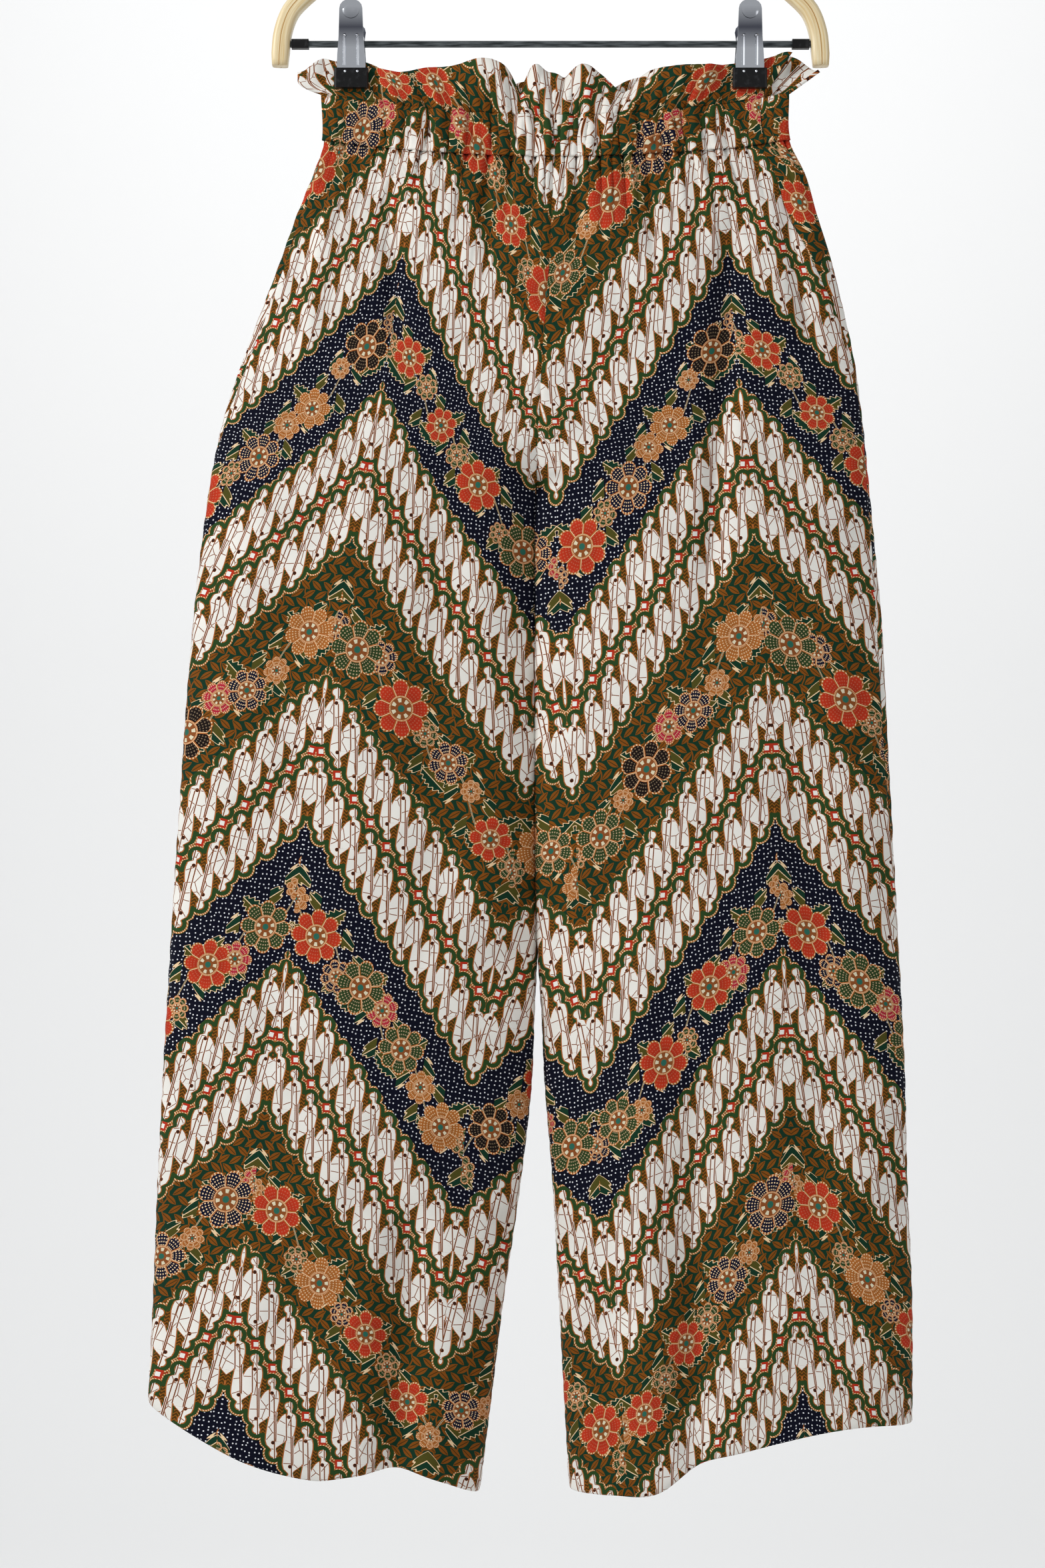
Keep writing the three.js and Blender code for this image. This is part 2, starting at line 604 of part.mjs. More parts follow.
// Booleans
function toSolid(geometry) {
  const bare = geometry.clone();
  for (const name of Object.keys(bare.attributes)) {
    if (name !== 'position') bare.deleteAttribute(name);
  }
  const merged = mergeVertices(bare, 1e-4);
  return new wasm.Manifold(new wasm.Mesh({
    numProp: 3,
    vertProperties: new Float32Array(merged.attributes.position.array),
    triVerts: new Uint32Array(merged.index.array),
  }));
}

function toGeometry(solid) {
  const mesh = solid.getMesh();
  const geometry = new THREE.BufferGeometry();
  geometry.setAttribute('position', new THREE.Float32BufferAttribute(Array.from(mesh.vertProperties), 3));
  geometry.setIndex(Array.from(mesh.triVerts));
  geometry.computeVertexNormals();
  return geometry;
}

function boxAt(width, depth, height, x, y, z) {
  return new THREE.BoxGeometry(width, depth, height).translate(x, y, z);
}

// Rounded rectangle outline, as [across, up] corners.
function roundedOutline(width, height, radius, steps = 3) {
  const outline = [];
  const corners = [[1, 1, 0], [-1, 1, 1], [-1, -1, 2], [1, -1, 3]];
  for (const [signX, signY, quarter] of corners) {
    for (let i = 0; i <= steps; i += 1) {
      const angle = ((quarter + i / steps) * Math.PI) / 2;
      outline.push([
        signX * (width / 2 - radius) + radius * Math.cos(angle),
        signY * (height / 2 - radius) + radius * Math.sin(angle),
      ]);
    }
  }
  return outline;
}

function extrudeOutline(outline, depth) {
  const shape = new THREE.Shape(outline.map(([x, y]) => new THREE.Vector2(x, y)));
  return new THREE.ExtrudeGeometry(shape, { depth, bevelEnabled: false });
}

// Hanger: the bow, with a blind socket in each turned-down end for the bar
function hangerBow() {
  const half = [
    [BOW_TIP.x, BOW_TIP.z], [188.2, -176], [186.6, -162], [181.5, -148], [173.4, -138.6],
    [160, -128], [140, -119], [115, -111.5], [85, -103.5], [50, -94.5], [20, -89.2], [0, -88],
  ];
  const curve = new THREE.CatmullRomCurve3([
    ...half.map(([x, z]) => new THREE.Vector3(-x, 0, z)),
    ...half.slice(0, -1).reverse().map(([x, z]) => new THREE.Vector3(x, 0, z)),
  ], false, 'centripetal');
  const path = curve.getPoints(36).map((point) => [point.x, point.z]);
  const profile = roundedOutline(BOW_SECTION.across, BOW_SECTION.deep, BOW_EDGE, 2);
  const bow = toSolid(sweepInPlane(path, profile));
  const socket = barBore(2 * (BAR.halfLength + SEAM_GAP), 0);
  const boreRadius = HOOK.wire / 2 + SEAM_GAP;
  const boreDepth = 20;
  const bore = new THREE.CylinderGeometry(boreRadius, boreRadius, boreDepth, 12).rotateX(Math.PI / 2);
  bore.translate(0, 0, HOOK.foot - SEAM_GAP + boreDepth / 2);
  return toGeometry(bow.subtract(socket).subtract(toSolid(bore)));
}

// The hook: a straight neck set in the bow, and an open round that bears on the rail
function hangerHook() {
  const centreZ = HOOK.wire / 2 - HOOK.bend;
  const points = [[0, HOOK.foot], [0, -74], [0, -62], [1.5, -52], [8, -43.5]];
  for (let degrees = -46; degrees <= 196; degrees += 22) {
    const angle = (degrees * Math.PI) / 180;
    points.push([HOOK.bend * Math.cos(angle), centreZ + HOOK.bend * Math.sin(angle)]);
  }
  const nodes = points.map(([x, z]) => new THREE.Vector3(x, 0, z));
  const curve = new THREE.CatmullRomCurve3(nodes, false, 'centripetal');
  const path = curve.getPoints(40).map((point) => [point.x, point.z]);
  const profile = Array.from({ length: 8 }, (_, i) => {
    const angle = ((i + 0.5) * Math.PI) / 4;
    return [(HOOK.wire / 2) * Math.cos(angle), (HOOK.wire / 2) * Math.sin(angle)];
  });
  return sweepInPlane(path, profile);
}

function bar() {
  return boxAt(2 * BAR.halfLength, BAR.thickness, BAR.height, 0, 0, BAR_LEVEL);
}

// The room that the bar takes in a piece that it passes through
function barBore(length, x) {
  return toSolid(boxAt(length, BAR.thickness + 2 * SEAM_GAP, BAR.height + 2 * SEAM_GAP, x, 0, BAR_LEVEL));
}

// Rubber sleeves on the ends of the bar, against the bow
function barSleeve(sign) {
  const outline = roundedOutline(SLEEVE.height, SLEEVE.depth, SLEEVE.edge, 3);
  const body = extrudeOutline(outline, SLEEVE.length).rotateY(Math.PI / 2).rotateX(Math.PI / 2);
  body.translate(sign > 0 ? SLEEVE.from : -SLEEVE.from - SLEEVE.length, 0, BAR_LEVEL);
  return toGeometry(toSolid(body).subtract(barBore(3 * SLEEVE.length, sign * SLEEVE.from)));
}

// Clips: two pressed plates pivot on the bar, a spring strip holds their tops apart, and
// their lower ends sit in rubber jaws that nip the frill
const CLIP = {
  plate: 1, lean: 0.105, top: -140.6, backTop: -152, foot: -192, footHalf: 9.4, footY: 4.9,
  headHalf: 8, backHeadHalf: 9.5, jawTop: -188, jawBottom: -201.6, jawWidth: 24, jawDepth: 5.4,
};
const RIB = { x: 4.7, radius: 1.1, length: 20, middle: 16 };
const EAR = { x: 8.1, backX: 6.6, wide: 1, deep: 9, high: 11, middle: 20.4 };

function clipPlate(sign, face) {
  const front = face === 'front';
  const top = front ? CLIP.top : CLIP.backTop;
  const headHalf = front ? CLIP.headHalf : CLIP.backHeadHalf;
  const headRise = headHalf * 0.8;
  const height = top - CLIP.foot;
  const flank = [[CLIP.footHalf, 0], [10, 6], [9.6, 14], [8.6, 26]];
  const outline = [...flank];
  for (let i = 0; i <= 8; i += 1) {
    const angle = (i * Math.PI) / 8;
    outline.push([headHalf * Math.cos(angle), height - headRise + headRise * Math.sin(angle)]);
  }
  outline.push(...flank.map(([x, z]) => [-x, z]).reverse());
  const sheet = extrudeOutline(outline, CLIP.plate).rotateX(Math.PI / 2).translate(0, CLIP.plate / 2, 0);
  let solid = toSolid(sheet);
  for (const x of [-RIB.x, RIB.x]) {
    const rib = new THREE.CylinderGeometry(RIB.radius, RIB.radius, RIB.length, 10).rotateX(Math.PI / 2);
    rib.translate(x, -CLIP.plate / 2, RIB.middle);
    solid = solid.add(toSolid(rib));
  }
  const earX = front ? EAR.x : EAR.backX;
  for (const x of [-earX, earX]) {
    const ear = boxAt(EAR.wide, EAR.deep, EAR.high, x, EAR.deep / 2, EAR.middle);
    solid = solid.add(toSolid(ear));
  }
  const geometry = toGeometry(solid);
  geometry.rotateX(CLIP.lean).translate(0, -CLIP.footY, CLIP.foot);
  if (!front) geometry.rotateZ(Math.PI);
  geometry.translate(sign * CLIP_X, 0, 0);
  return toGeometry(toSolid(geometry).subtract(barBore(3 * CLIP.jawWidth, sign * CLIP_X)));
}

function clipJaw(sign, face) {
  const turn = face === 'front' ? -1 : 1;
  const height = CLIP.jawTop - CLIP.jawBottom;
  const outline = roundedOutline(CLIP.jawWidth, CLIP.jawDepth, 1.6, 3);
  const body = extrudeOutline(outline, height);
  const middleY = turn * (NIP + LEG_WALL / 2 + SEAM_GAP + CLIP.jawDepth / 2);
  body.translate(sign * CLIP_X, middleY, CLIP.jawBottom);
  const slotWidth = 21.2;
  const slotDepth = CLIP.plate + 1.4;
  const slotHeight = 2 * (CLIP.jawTop - CLIP.foot) + 0.8;
  const slot = boxAt(slotWidth, slotDepth, slotHeight, 0, 0, 0);
  slot.translate(sign * CLIP_X, turn * (CLIP.footY + 0.22), CLIP.jawTop);
  return toGeometry(toSolid(body).subtract(toSolid(slot)));
}

// The spring is a U of flat strip that stands on the bar between the plates.
function clipSpring(sign) {
  const wall = 0.8;
  const width = 9;
  const half = [[2, -167.1], [4.2, -164], [6.4, -158], [7.3, -151.5]];
  const outer = [...half.map(([y, z]) => [-y, z]).reverse(), ...half];
  const inner = outer.map(([y, z]) => {
    const rise = Math.abs(y) === half[0][0] ? wall : wall / 4;
    return [y - Math.sign(y) * wall, z + rise];
  });
  const strip = extrudeOutline([...outer, ...inner.reverse()], width);
  strip.rotateX(Math.PI / 2).rotateZ(Math.PI / 2);
  return strip.translate(sign * CLIP_X - width / 2, 0, 0);
}

// Materials and assembly
const MATERIALS = {
  batik: { color: 0x9a6a3c, roughness: 0.85, metalness: 0 },
  wood: { color: 0xe6cf9e, roughness: 0.45, metalness: 0 },
  chrome: { color: 0xd8dade, roughness: 0.15, metalness: 1 },
  steel: { color: 0x8b8f93, roughness: 0.35, metalness: 1 },
  rubber: { color: 0x131313, roughness: 0.5, metalness: 0 },
};

const model = new THREE.Group();

function addPiece(name, geometry, finish) {
  const mesh = new THREE.Mesh(geometry, new THREE.MeshStandardMaterial(MATERIALS[finish]));
  mesh.name = name;
  model.add(mesh);
}

for (const face of ['front', 'back']) {
  addPiece(`right_leg_${face}`, legPanel('right', face), 'batik');
  addPiece(`left_leg_${face}`, legPanel('left', face), 'batik');
  addPiece(`waist_casing_${face}`, casing(face), 'batik');
  addPiece(`waist_frill_${face}`, frill(face), 'batik');
}

addPiece('hanger_bow', hangerBow(), 'wood');
addPiece('hanger_hook', hangerHook(), 'chrome');
addPiece('hanger_bar', bar(), 'steel');
for (const [name, sign] of [['right', -1], ['left', 1]]) {
  addPiece(`${name}_bar_sleeve`, barSleeve(sign), 'rubber');
  addPiece(`${name}_clip_front_plate`, clipPlate(sign, 'front'), 'chrome');
  addPiece(`${name}_clip_back_plate`, clipPlate(sign, 'back'), 'chrome');
  addPiece(`${name}_clip_spring`, clipSpring(sign), 'steel');
  addPiece(`${name}_clip_front_jaw`, clipJaw(sign, 'front'), 'rubber');
  addPiece(`${name}_clip_back_jaw`, clipJaw(sign, 'back'), 'rubber');
}

export default model;
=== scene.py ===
# %% [markdown]
# # Batik lounge pants on a clip hanger
# A pair of wide-leg trousers in printed cotton hangs flat from the two clips of a wooden hanger.
# The cloth is the main thing: a frill stands over an elastic casing, the legs fall from its
# gathers, and a chevron print runs over all of it. Lengths in this lesson are in millimetres and
# become metres only when a mesh is made, because cloth sizes read best that way.

# %% Load the frame
import math

import bpy
import numpy as np
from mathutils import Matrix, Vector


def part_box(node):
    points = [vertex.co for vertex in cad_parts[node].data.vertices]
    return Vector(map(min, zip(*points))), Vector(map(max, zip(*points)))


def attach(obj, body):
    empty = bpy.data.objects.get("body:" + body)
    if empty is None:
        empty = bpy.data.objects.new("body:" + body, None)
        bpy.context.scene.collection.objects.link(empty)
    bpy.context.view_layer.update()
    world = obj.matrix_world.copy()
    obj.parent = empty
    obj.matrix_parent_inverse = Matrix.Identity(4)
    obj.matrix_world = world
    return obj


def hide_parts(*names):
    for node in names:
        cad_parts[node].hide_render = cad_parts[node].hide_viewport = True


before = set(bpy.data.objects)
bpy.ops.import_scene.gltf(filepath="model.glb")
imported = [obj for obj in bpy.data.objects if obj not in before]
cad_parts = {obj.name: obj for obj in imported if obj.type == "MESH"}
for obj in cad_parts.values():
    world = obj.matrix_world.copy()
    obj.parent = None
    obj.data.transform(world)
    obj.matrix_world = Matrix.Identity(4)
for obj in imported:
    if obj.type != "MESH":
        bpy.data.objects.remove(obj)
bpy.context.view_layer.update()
MM = 0.001

# %% [markdown]
# ## Camera
# The picture looks straight at the garment from about two metres, level with its middle, and its
# upper edge cuts the hanger. A camera is placed from what the frame must hold: at the garment's
# distance the view is 1.094 m high, which gives the lens.

# %% Camera
VIEW_HEIGHT = 1.0937
DISTANCE = 2.0
VIEW_MIDDLE = (-19.5, -685.9)
camera_data = bpy.data.cameras.new("camera")
camera_data.sensor_width = 36.0
camera_data.lens = camera_data.sensor_width * DISTANCE / VIEW_HEIGHT
camera_data.clip_end = 60.0
camera = bpy.data.objects.new("camera", camera_data)
camera.location = (VIEW_MIDDLE[0] * MM, -DISTANCE, VIEW_MIDDLE[1] * MM)
camera.rotation_euler = (math.pi / 2, 0.0, 0.0)
bpy.context.scene.collection.objects.link(camera)
bpy.context.scene.camera = camera
print("lens", round(camera_data.lens, 2), "mm")

# %% [markdown]
# ## Curves through a few numbers
# A garment is described best by a few levels, as a maker measures it. A smooth curve through such
# rows gives every level between them. Each helper here takes whole numpy arrays.

# %% Curves and blends


def mix(a, b, t):
    """a at t = 0 and b at t = 1, in a straight line between."""
    return a + (b - a) * t


def smooth(low, high, value):
    """Rises from 0 at low to 1 at high as 3t^2 - 2t^3."""
    t = np.clip((value - low) / (high - low), 0, 1)
    return t * t * (3 - 2 * t)


def bell(distance, width):
    """exp(-(distance / width)^2): 1 in the middle and close to 0 two widths away."""
    return np.exp(-((distance / width) ** 2))


def unit(vectors):
    """Vectors divided by their own lengths."""
    return vectors / np.maximum(np.linalg.norm(vectors, axis=-1, keepdims=True), 1e-9)


def length_along(line):
    """The length of a line of points from its first point to each."""
    return np.concatenate([[0], np.cumsum(np.linalg.norm(np.diff(line, axis=0), axis=1))])


def curve_through(keys, values, at):
    """A cubic between each two rows, whose end slopes are those of the chords past them."""
    keys, values = np.asarray(keys, float), np.asarray(values, float)
    if keys[0] > keys[-1]:
        keys, values = keys[::-1], values[::-1]
    rows = np.arange(len(keys))
    before, after = np.maximum(rows - 1, 0), np.minimum(rows + 1, len(keys) - 1)
    slope = (values[after] - values[before]) / (keys[after] - keys[before])
    i = np.clip(np.searchsorted(keys, at), 1, len(keys) - 1)
    span = keys[i] - keys[i - 1]
    t = np.clip((at - keys[i - 1]) / span, 0, 1)
    rise = t * t * (3 - 2 * t)
    bends = slope[i - 1] * span * (t - 2 * t * t + t**3) + slope[i] * span * (t**3 - t * t)
    return values[i - 1] * (1 - rise) + values[i] * rise + bends


# %% [markdown]
# ## The garment's form
# The rows below say, level by level, where the outer folds and inner edges lie and how far the
# front and back stand off the middle. Right and left are the wearer's, so the right leg is on
# the -X side. They are the frame's own sizes, so the cloth lies where its solids lie.

# %% Outline and depth by level
# level, right fold, right inner, left inner, left fold, front depth, back depth
SECTIONS = np.array([
    (-170, -159, 3, 3, 165, 8, 8),
    (-205, -158.6, 3, 3, 165.1, 9, 9),
    (-237, -158, 3, 3, 166, 12, 12),
    (-262, -165.7, 2, 2, 178.4, 18, 17),
    (-290, -176.6, 1, 1, 186, 23, 23),
    (-325, -189.3, -1, -1, 195.9, 28, 29),
    (-385, -211.6, -5.5, -5.5, 210.2, 33, 36),
    (-430, -226.9, -8, -8, 216.8, 36, 40),
    (-476, -236.7, -10.8, -8.8, 221.3, 38, 42),
    (-570, -248.3, -10.8, -8.8, 229.6, 40, 42),
    (-715, -259, -10.9, -8.7, 237.7, 41, 41),
    (-880, -269.2, -12.5, -4.6, 246, 42, 40),
    (-960, -273.1, -20.6, 1.5, 248.2, 42, 40),
    (-1050, -276.7, -33.6, 6.5, 251.4, 43, 41),
    (-1115, -279.5, -41.6, 9.9, 251.6, 44, 42),
    (-1185, -281, -50.5, 14, 251.6, 44, 42),
], float)
SECTION_COLUMNS = ["level", "right_fold", "right_inner", "left_inner", "left_fold", "front", "back"]
# share across the leg, right front, right back, left front, left back
HEMS = np.array([
    (0, -1114, -1114, -1128, -1128),
    (0.15, -1132, -1122, -1126, -1131),
    (0.3, -1148, -1134, -1130, -1137),
    (0.5, -1160, -1146, -1141, -1146),
    (0.62, -1158, -1153, -1150, -1152),
    (0.75, -1155, -1160, -1170, -1159),
    (0.88, -1164, -1169, -1173, -1167),
    (1, -1176, -1176, -1174, -1174),
], float)
HEM_COLUMNS = ["across", "right_front", "right_back", "left_front", "left_back"]
# level, and how far the right and the left side seam have rolled on to the front
SEAM_ROLLS = np.array([
    (-170, 0, 16), (-237, 0, 19), (-262, 0, 22), (-292, 2, 22), (-325, 4, 15), (-360, 5, 6),
    (-400, 4, 1), (-470, 0, 1), (-560, 0, 3.5), (-670, 0, 3.5), (-740, 0, 0), (-1185, 0, 0),
], float)
CASING_TOP = {"side": -204.5, "middle": -221.8}
CASING_BOTTOM = {"side": -237.0, "middle": -251.6}
CROTCH, CROTCH_CURVE_TOP = -476.0, -396.0
HIP_CHANGE = {"top": -330.0, "bottom": -600.0}
WAIST_CENTRE = 3.0
GATHERS_PER_HALF, GATHER_DEPTH = 11, 2.3
# half the thickness between the jaws, and the jaws' middle and reach in x
NIP, CLIP_X, CLIP_REACH = 0.95, 138.7, 16.0
HEM_SLANT_TOP = -820.0
# the legs' inner edges: how far they overlap in x, pass each other in y, and down to where
TOUCH, PASSING, TOUCH_END = 2.6, 2.6, -860.0


def section(column, level):
    """One column of the outline at any level."""
    return curve_through(SECTIONS[:, 0], SECTIONS[:, SECTION_COLUMNS.index(column)], level)


def hem_level(side, face, share):
    """The level of the hem's edge, share of the way from a leg's outer fold to its inner edge."""
    return curve_through(HEMS[:, 0], HEMS[:, HEM_COLUMNS.index(f"{side}_{face}")], share)


# %% [markdown]
# ## Folds
# Folds are placed one by one, each a soft trough or ridge that runs from a top point to a bottom
# point and dies out at both ends. The gathers under the elastic are a wave whose phase drifts and
# whose length changes, so that no two are the same. A cloth simulation could make folds too, but
# it wouldn't put them where these trousers have them.

# %% Folds and gathers
# top x, top z, bottom x, bottom z, width, push into the garment
FOLDS = {
    "front": np.array([
        (-112, -262, -106, -402, 7, 5), (-44, -255, -42, -345, 6, 5), (22, -255, 16, -330, 6, 3),
        (68, -255, 72, -335, 6, 4), (128, -262, 104, -610, 9, 8), (160, -262, 182, -400, 7, 5),
        (-148, -262, -176, -420, 8, -3), (-70, -420, -84, -900, 20, 4),
        (-170, -520, -196, -1000, 22, 4), (-96, -960, -112, -1230, 15, 13),
        (-200, -980, -206, -1230, 18, -3), (60, -720, 66, -1230, 17, -7),
        (102, -860, 100, -1230, 15, 9), (172, -560, 186, -1100, 22, 5),
    ], float),
    "back": np.array([
        (-120, -262, -112, -420, 8, 5), (-52, -255, -60, -390, 7, 5), (40, -255, 52, -380, 7, 5),
        (116, -262, 124, -470, 9, 6), (-150, -560, -182, -1230, 20, 9),
        (-92, -700, -118, -1230, 16, -5), (80, -620, 92, -1230, 18, 8),
        (168, -760, 172, -1230, 17, -5),
    ], float),
}


def fold_push(x, z, face):
    """The sum of the folds: push * (its ends faded) * bell across its line."""
    push = np.zeros_like(x)
    for top_x, top_z, bottom_x, bottom_z, width, depth in FOLDS[face]:
        along = (top_z - z) / (top_z - bottom_z)
        ends = smooth(0, 0.22, along) * (1 - smooth(0.7, 1, along)) * (along > 0) * (along < 1)
        push += depth * ends * bell(x - mix(top_x, bottom_x, along), width)
    return push


def gather_phase(share, side):
    """2 pi for each gather, with a slow drift so that their widths differ."""
    lead = 0.4 if side == "right" else 1.7
    drift = 0.35 * np.sin(5.1 * share + lead) + 0.2 * np.sin(11.7 * share - lead)
    return 2 * np.pi * GATHERS_PER_HALF * share + drift


def gather_push(share, z, side, face):
    """depth * height * fade * cos(phase): each gather fades down at its own length."""
    lead = (0.7 if side == "right" else 2.9) + (0 if face == "front" else 1.3)
    length = 46 + 20 * np.sin(9.3 * share + lead) + 12 * np.sin(21.1 * share - lead)
    drop = np.maximum(0, CASING_BOTTOM["middle"] + 14 - z) / length
    height = 0.75 + 0.25 * np.sin(14.3 * share + lead)
    shift = 0 if face == "front" else 2.1
    return GATHER_DEPTH * height * np.exp(-(drop**1.4)) * np.cos(gather_phase(share, side) + shift)


# %% [markdown]
# ## The cloth's surface
# A point of the cloth is found from two numbers: its way round a leg, which goes from 0 at the
# outer fold to 1 at the inner edge over the front and to -1 over the back, and its level. Above
# the crotch the section is one round of both hips, and below it is two legs.

# %% Cloth surface


def across(way):
    """(1 - cos(pi |way|)) / 2: even steps of way crowd the points at both edges."""
    return (1 - np.cos(np.pi * np.abs(way))) / 2


def way_at(share):
    """The way at which across() reaches share."""
    return np.arccos(1 - 2 * np.clip(share, 0, 1)) / np.pi


def fold_round(share):
    """A quarter round over the first hundredth of the width, so that both faces meet roundly."""
    return np.sqrt(1 - (1 - np.minimum(1, share / 0.013)) ** 2)


def sagged(edge, share):
    """An edge of the casing hangs as a shallow bow between its ends and its middle."""
    return mix(edge["middle"], edge["side"], (1 - share) ** 2)


def hip_share(z, share):
    """1 where the section is one round of both hips and 0 where it is two legs."""
    t = np.clip((CROTCH_CURVE_TOP - z) / (CROTCH_CURVE_TOP - CROTCH), 0, 1)
    sides = smooth(HIP_CHANGE["bottom"], HIP_CHANGE["top"], z)
    return mix(sides, np.sqrt(1 - t * t), smooth(0.55, 0.97, share))


def nip_share(x, z):
    """1 where the jaws nip the cloth, fading sideways and down from them."""
    off = np.abs(np.abs(x) - CLIP_X)
    flat = (1 - smooth(CLIP_REACH, CLIP_REACH + 16, off)) * smooth(-222, -203, z)
    return np.maximum(flat, 0.85 * bell(off, 30) * smooth(-320, -205, z))


def cloth_point(side, way, z, nip=NIP):
    """x from the folds, and y = depth * round of the section, less gathers and folds."""
    share = across(way)
    x = mix(section(f"{side}_fold", z), section(f"{side}_inner", z), share)
    leg_round = (4 * share * (1 - share)) ** 0.4
    hip_round = (1 - (1 - share) ** 2) ** 0.4
    loose = 1 - nip_share(x, z)
    edge = smooth(0, 0.09, share)
    inner = mix(smooth(0, 0.09, 1 - share), 1, hip_share(z, 1))
    stand = {}
    for face in ("front", "back"):
        bulge = section(face, z) * mix(leg_round, hip_round, hip_share(z, share))
        nipped = mix(nip * fold_round(share), bulge, loose)
        gathers = gather_push(share, z, side, face) * edge * mix(0.1, 1, loose)
        folds = fold_push(x, z, face) * edge * inner * loose
        stand[face] = np.maximum(nipped - gathers - folds, nip * fold_round(share))
    y = np.where(way >= 0, -stand["front"], stand["back"])
    ends = 1 - smooth(TOUCH_END + 90, TOUCH_END, z)
    above, below = smooth(CROTCH + 60, CROTCH + 25, z) * ends, smooth(CROTCH, CROTCH - 30, z) * ends
    passes = bell((1 - share) * np.abs(section(f"{side}_inner", z) - section(f"{side}_fold", z)), 16)
    x = x + passes * above * (TOUCH if side == "right" else -TOUCH)
    y = y + passes * below * (PASSING if side == "right" else -PASSING)
    return np.stack([x, y, z + 0 * x], axis=-1)


def row_level(side, way, z):
    """Rows follow the casing's sag at the top and the hem's slant at the bottom."""
    share = across(way)
    sag = sagged(CASING_BOTTOM, share) - CASING_BOTTOM["middle"]
    near_waist = 1 - smooth(-CASING_BOTTOM["middle"], -CROTCH_CURVE_TOP, -z)
    level = np.where(way >= 0, hem_level(side, "front", share), hem_level(side, "back", share))
    at_inner = hem_level(side, "front", 1.0)
    near_hem = np.clip((HEM_SLANT_TOP - z) / (HEM_SLANT_TOP - at_inner), 0, 1)
    return z + sag * near_waist + (level - at_inner) * near_hem**1.5


def seam_way(side, z):
    """Where the side seam lies, as a way round the leg."""
    roll = np.maximum(0, curve_through(SEAM_ROLLS[:, 0], SEAM_ROLLS[:, 1 + (side == "left")], z))
    return way_at(roll / np.abs(section(f"{side}_inner", z) - section(f"{side}_fold", z)))


# %% [markdown]
# ## From arrays to meshes
# A surface of two parameters becomes a grid of four-sided faces. The helper also takes the place
# of each point on the flat cloth, which becomes the piece's own UV map, in metres, so that print
# and weave follow the cloth round its folds.

# %% Grids and normals


def normals_of(points):
    """The unit normal of a grid: its row direction crossed with its column direction."""
    along, down = np.gradient(points, axis=1), np.gradient(points, axis=0)
    return unit(np.cross(along, down))


def facing(points, outward):
    """True if a grid's normals agree, on the whole, with the outward direction."""
    return (normals_of(points) * outward).sum() > 0


def outer_normals(points, outward):
    """The normals of a grid, turned to the side that the outward direction points to."""
    return normals_of(points) * (1 if facing(points, outward) else -1)


def grid_faces(rows, columns, start=0, flip=False, closed=False):
    """The four corners of each cell of a grid, whose last column may join its first."""
    index = np.arange(rows * columns).reshape(rows, columns) + start
    if closed:
        index = np.concatenate([index, index[:, :1]], axis=1)
    a, b, c, d = index[:-1, :-1], index[:-1, 1:], index[1:, 1:], index[1:, :-1]
    corners = (a, b, c, d) if flip else (a, d, c, b)
    return np.stack(corners, axis=-1).reshape(-1, 4)


def linked_object(name, mesh):
    """A smoothly shaded mesh as an object of the scene."""
    mesh.polygons.foreach_set("use_smooth", np.full(len(mesh.polygons), True))
    piece = bpy.data.objects.new(name, mesh)
    bpy.context.scene.collection.objects.link(piece)
    return piece


def mesh_piece(name, grids):
    """Makes one object of several grids: a dict each, with points, uv, flip and closed."""
    points, uvs, faces, start = [], [], [], 0
    for grid in grids:
        rows, columns = grid["points"].shape[:2]
        points.append(grid["points"].reshape(-1, 3))
        uvs.append(grid.get("uv", grid["points"][..., [0, 2]]).reshape(-1, 2))
        faces.append(grid_faces(rows, columns, start, grid.get("flip"), grid.get("closed")))
        start += rows * columns
    points, uvs, faces = np.concatenate(points), np.concatenate(uvs), np.concatenate(faces)
    mesh = bpy.data.meshes.new(name)
    mesh.vertices.add(len(points))
    mesh.vertices.foreach_set("co", (points * MM).ravel())
    mesh.loops.add(faces.size)
    mesh.loops.foreach_set("vertex_index", faces.ravel())
    mesh.polygons.add(len(faces))
    mesh.polygons.foreach_set("loop_start", np.arange(0, faces.size, 4))
    mesh.polygons.foreach_set("loop_total", np.full(len(faces), 4))
    mesh.update(calc_edges=True)
    mesh.uv_layers.new(name="flat").data.foreach_set("uv", (uvs[faces.ravel()] * MM).ravel())
    piece = linked_object(name, mesh)
    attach(piece, "root")
    return piece


def cloth_piece(name, grids, thickness):
    """A piece of batik cloth with its wall, which goes inwards from the face that was modelled."""
    piece = mesh_piece(name, grids)
    wall = piece.modifiers.new("wall", "SOLIDIFY")
    wall.thickness = thickness * MM
    wall.offset = -1
    wall.use_even_offset = False
    areas = np.zeros(len(piece.data.polygons))
    piece.data.polygons.foreach_get("area", areas)
    print(name, len(areas), "faces,", round(areas.sum(), 4), "m2")
    return piece


# %% [markdown]
# ## Where the print lies
# The cloth was cut with its chevrons upright. On each leg one line of peaks and one line of
# valleys were found, 153.5 mm apart on the flat cloth. Along every row, the way from one
# line to the other is scaled to that. Gathers are passed over, because the way counts what is seen
# of the cloth and not what they hide. Blender's own unwrapping would give a flat map too, but not
# one in which these lines lie at given places.

# %% Lines of peaks and valleys
PEAK_TO_VALLEY = 153.5
HIDDEN_SHARE, HIDDEN_TOP = 0.13, 90.0
DEEP_WAY = 0.8
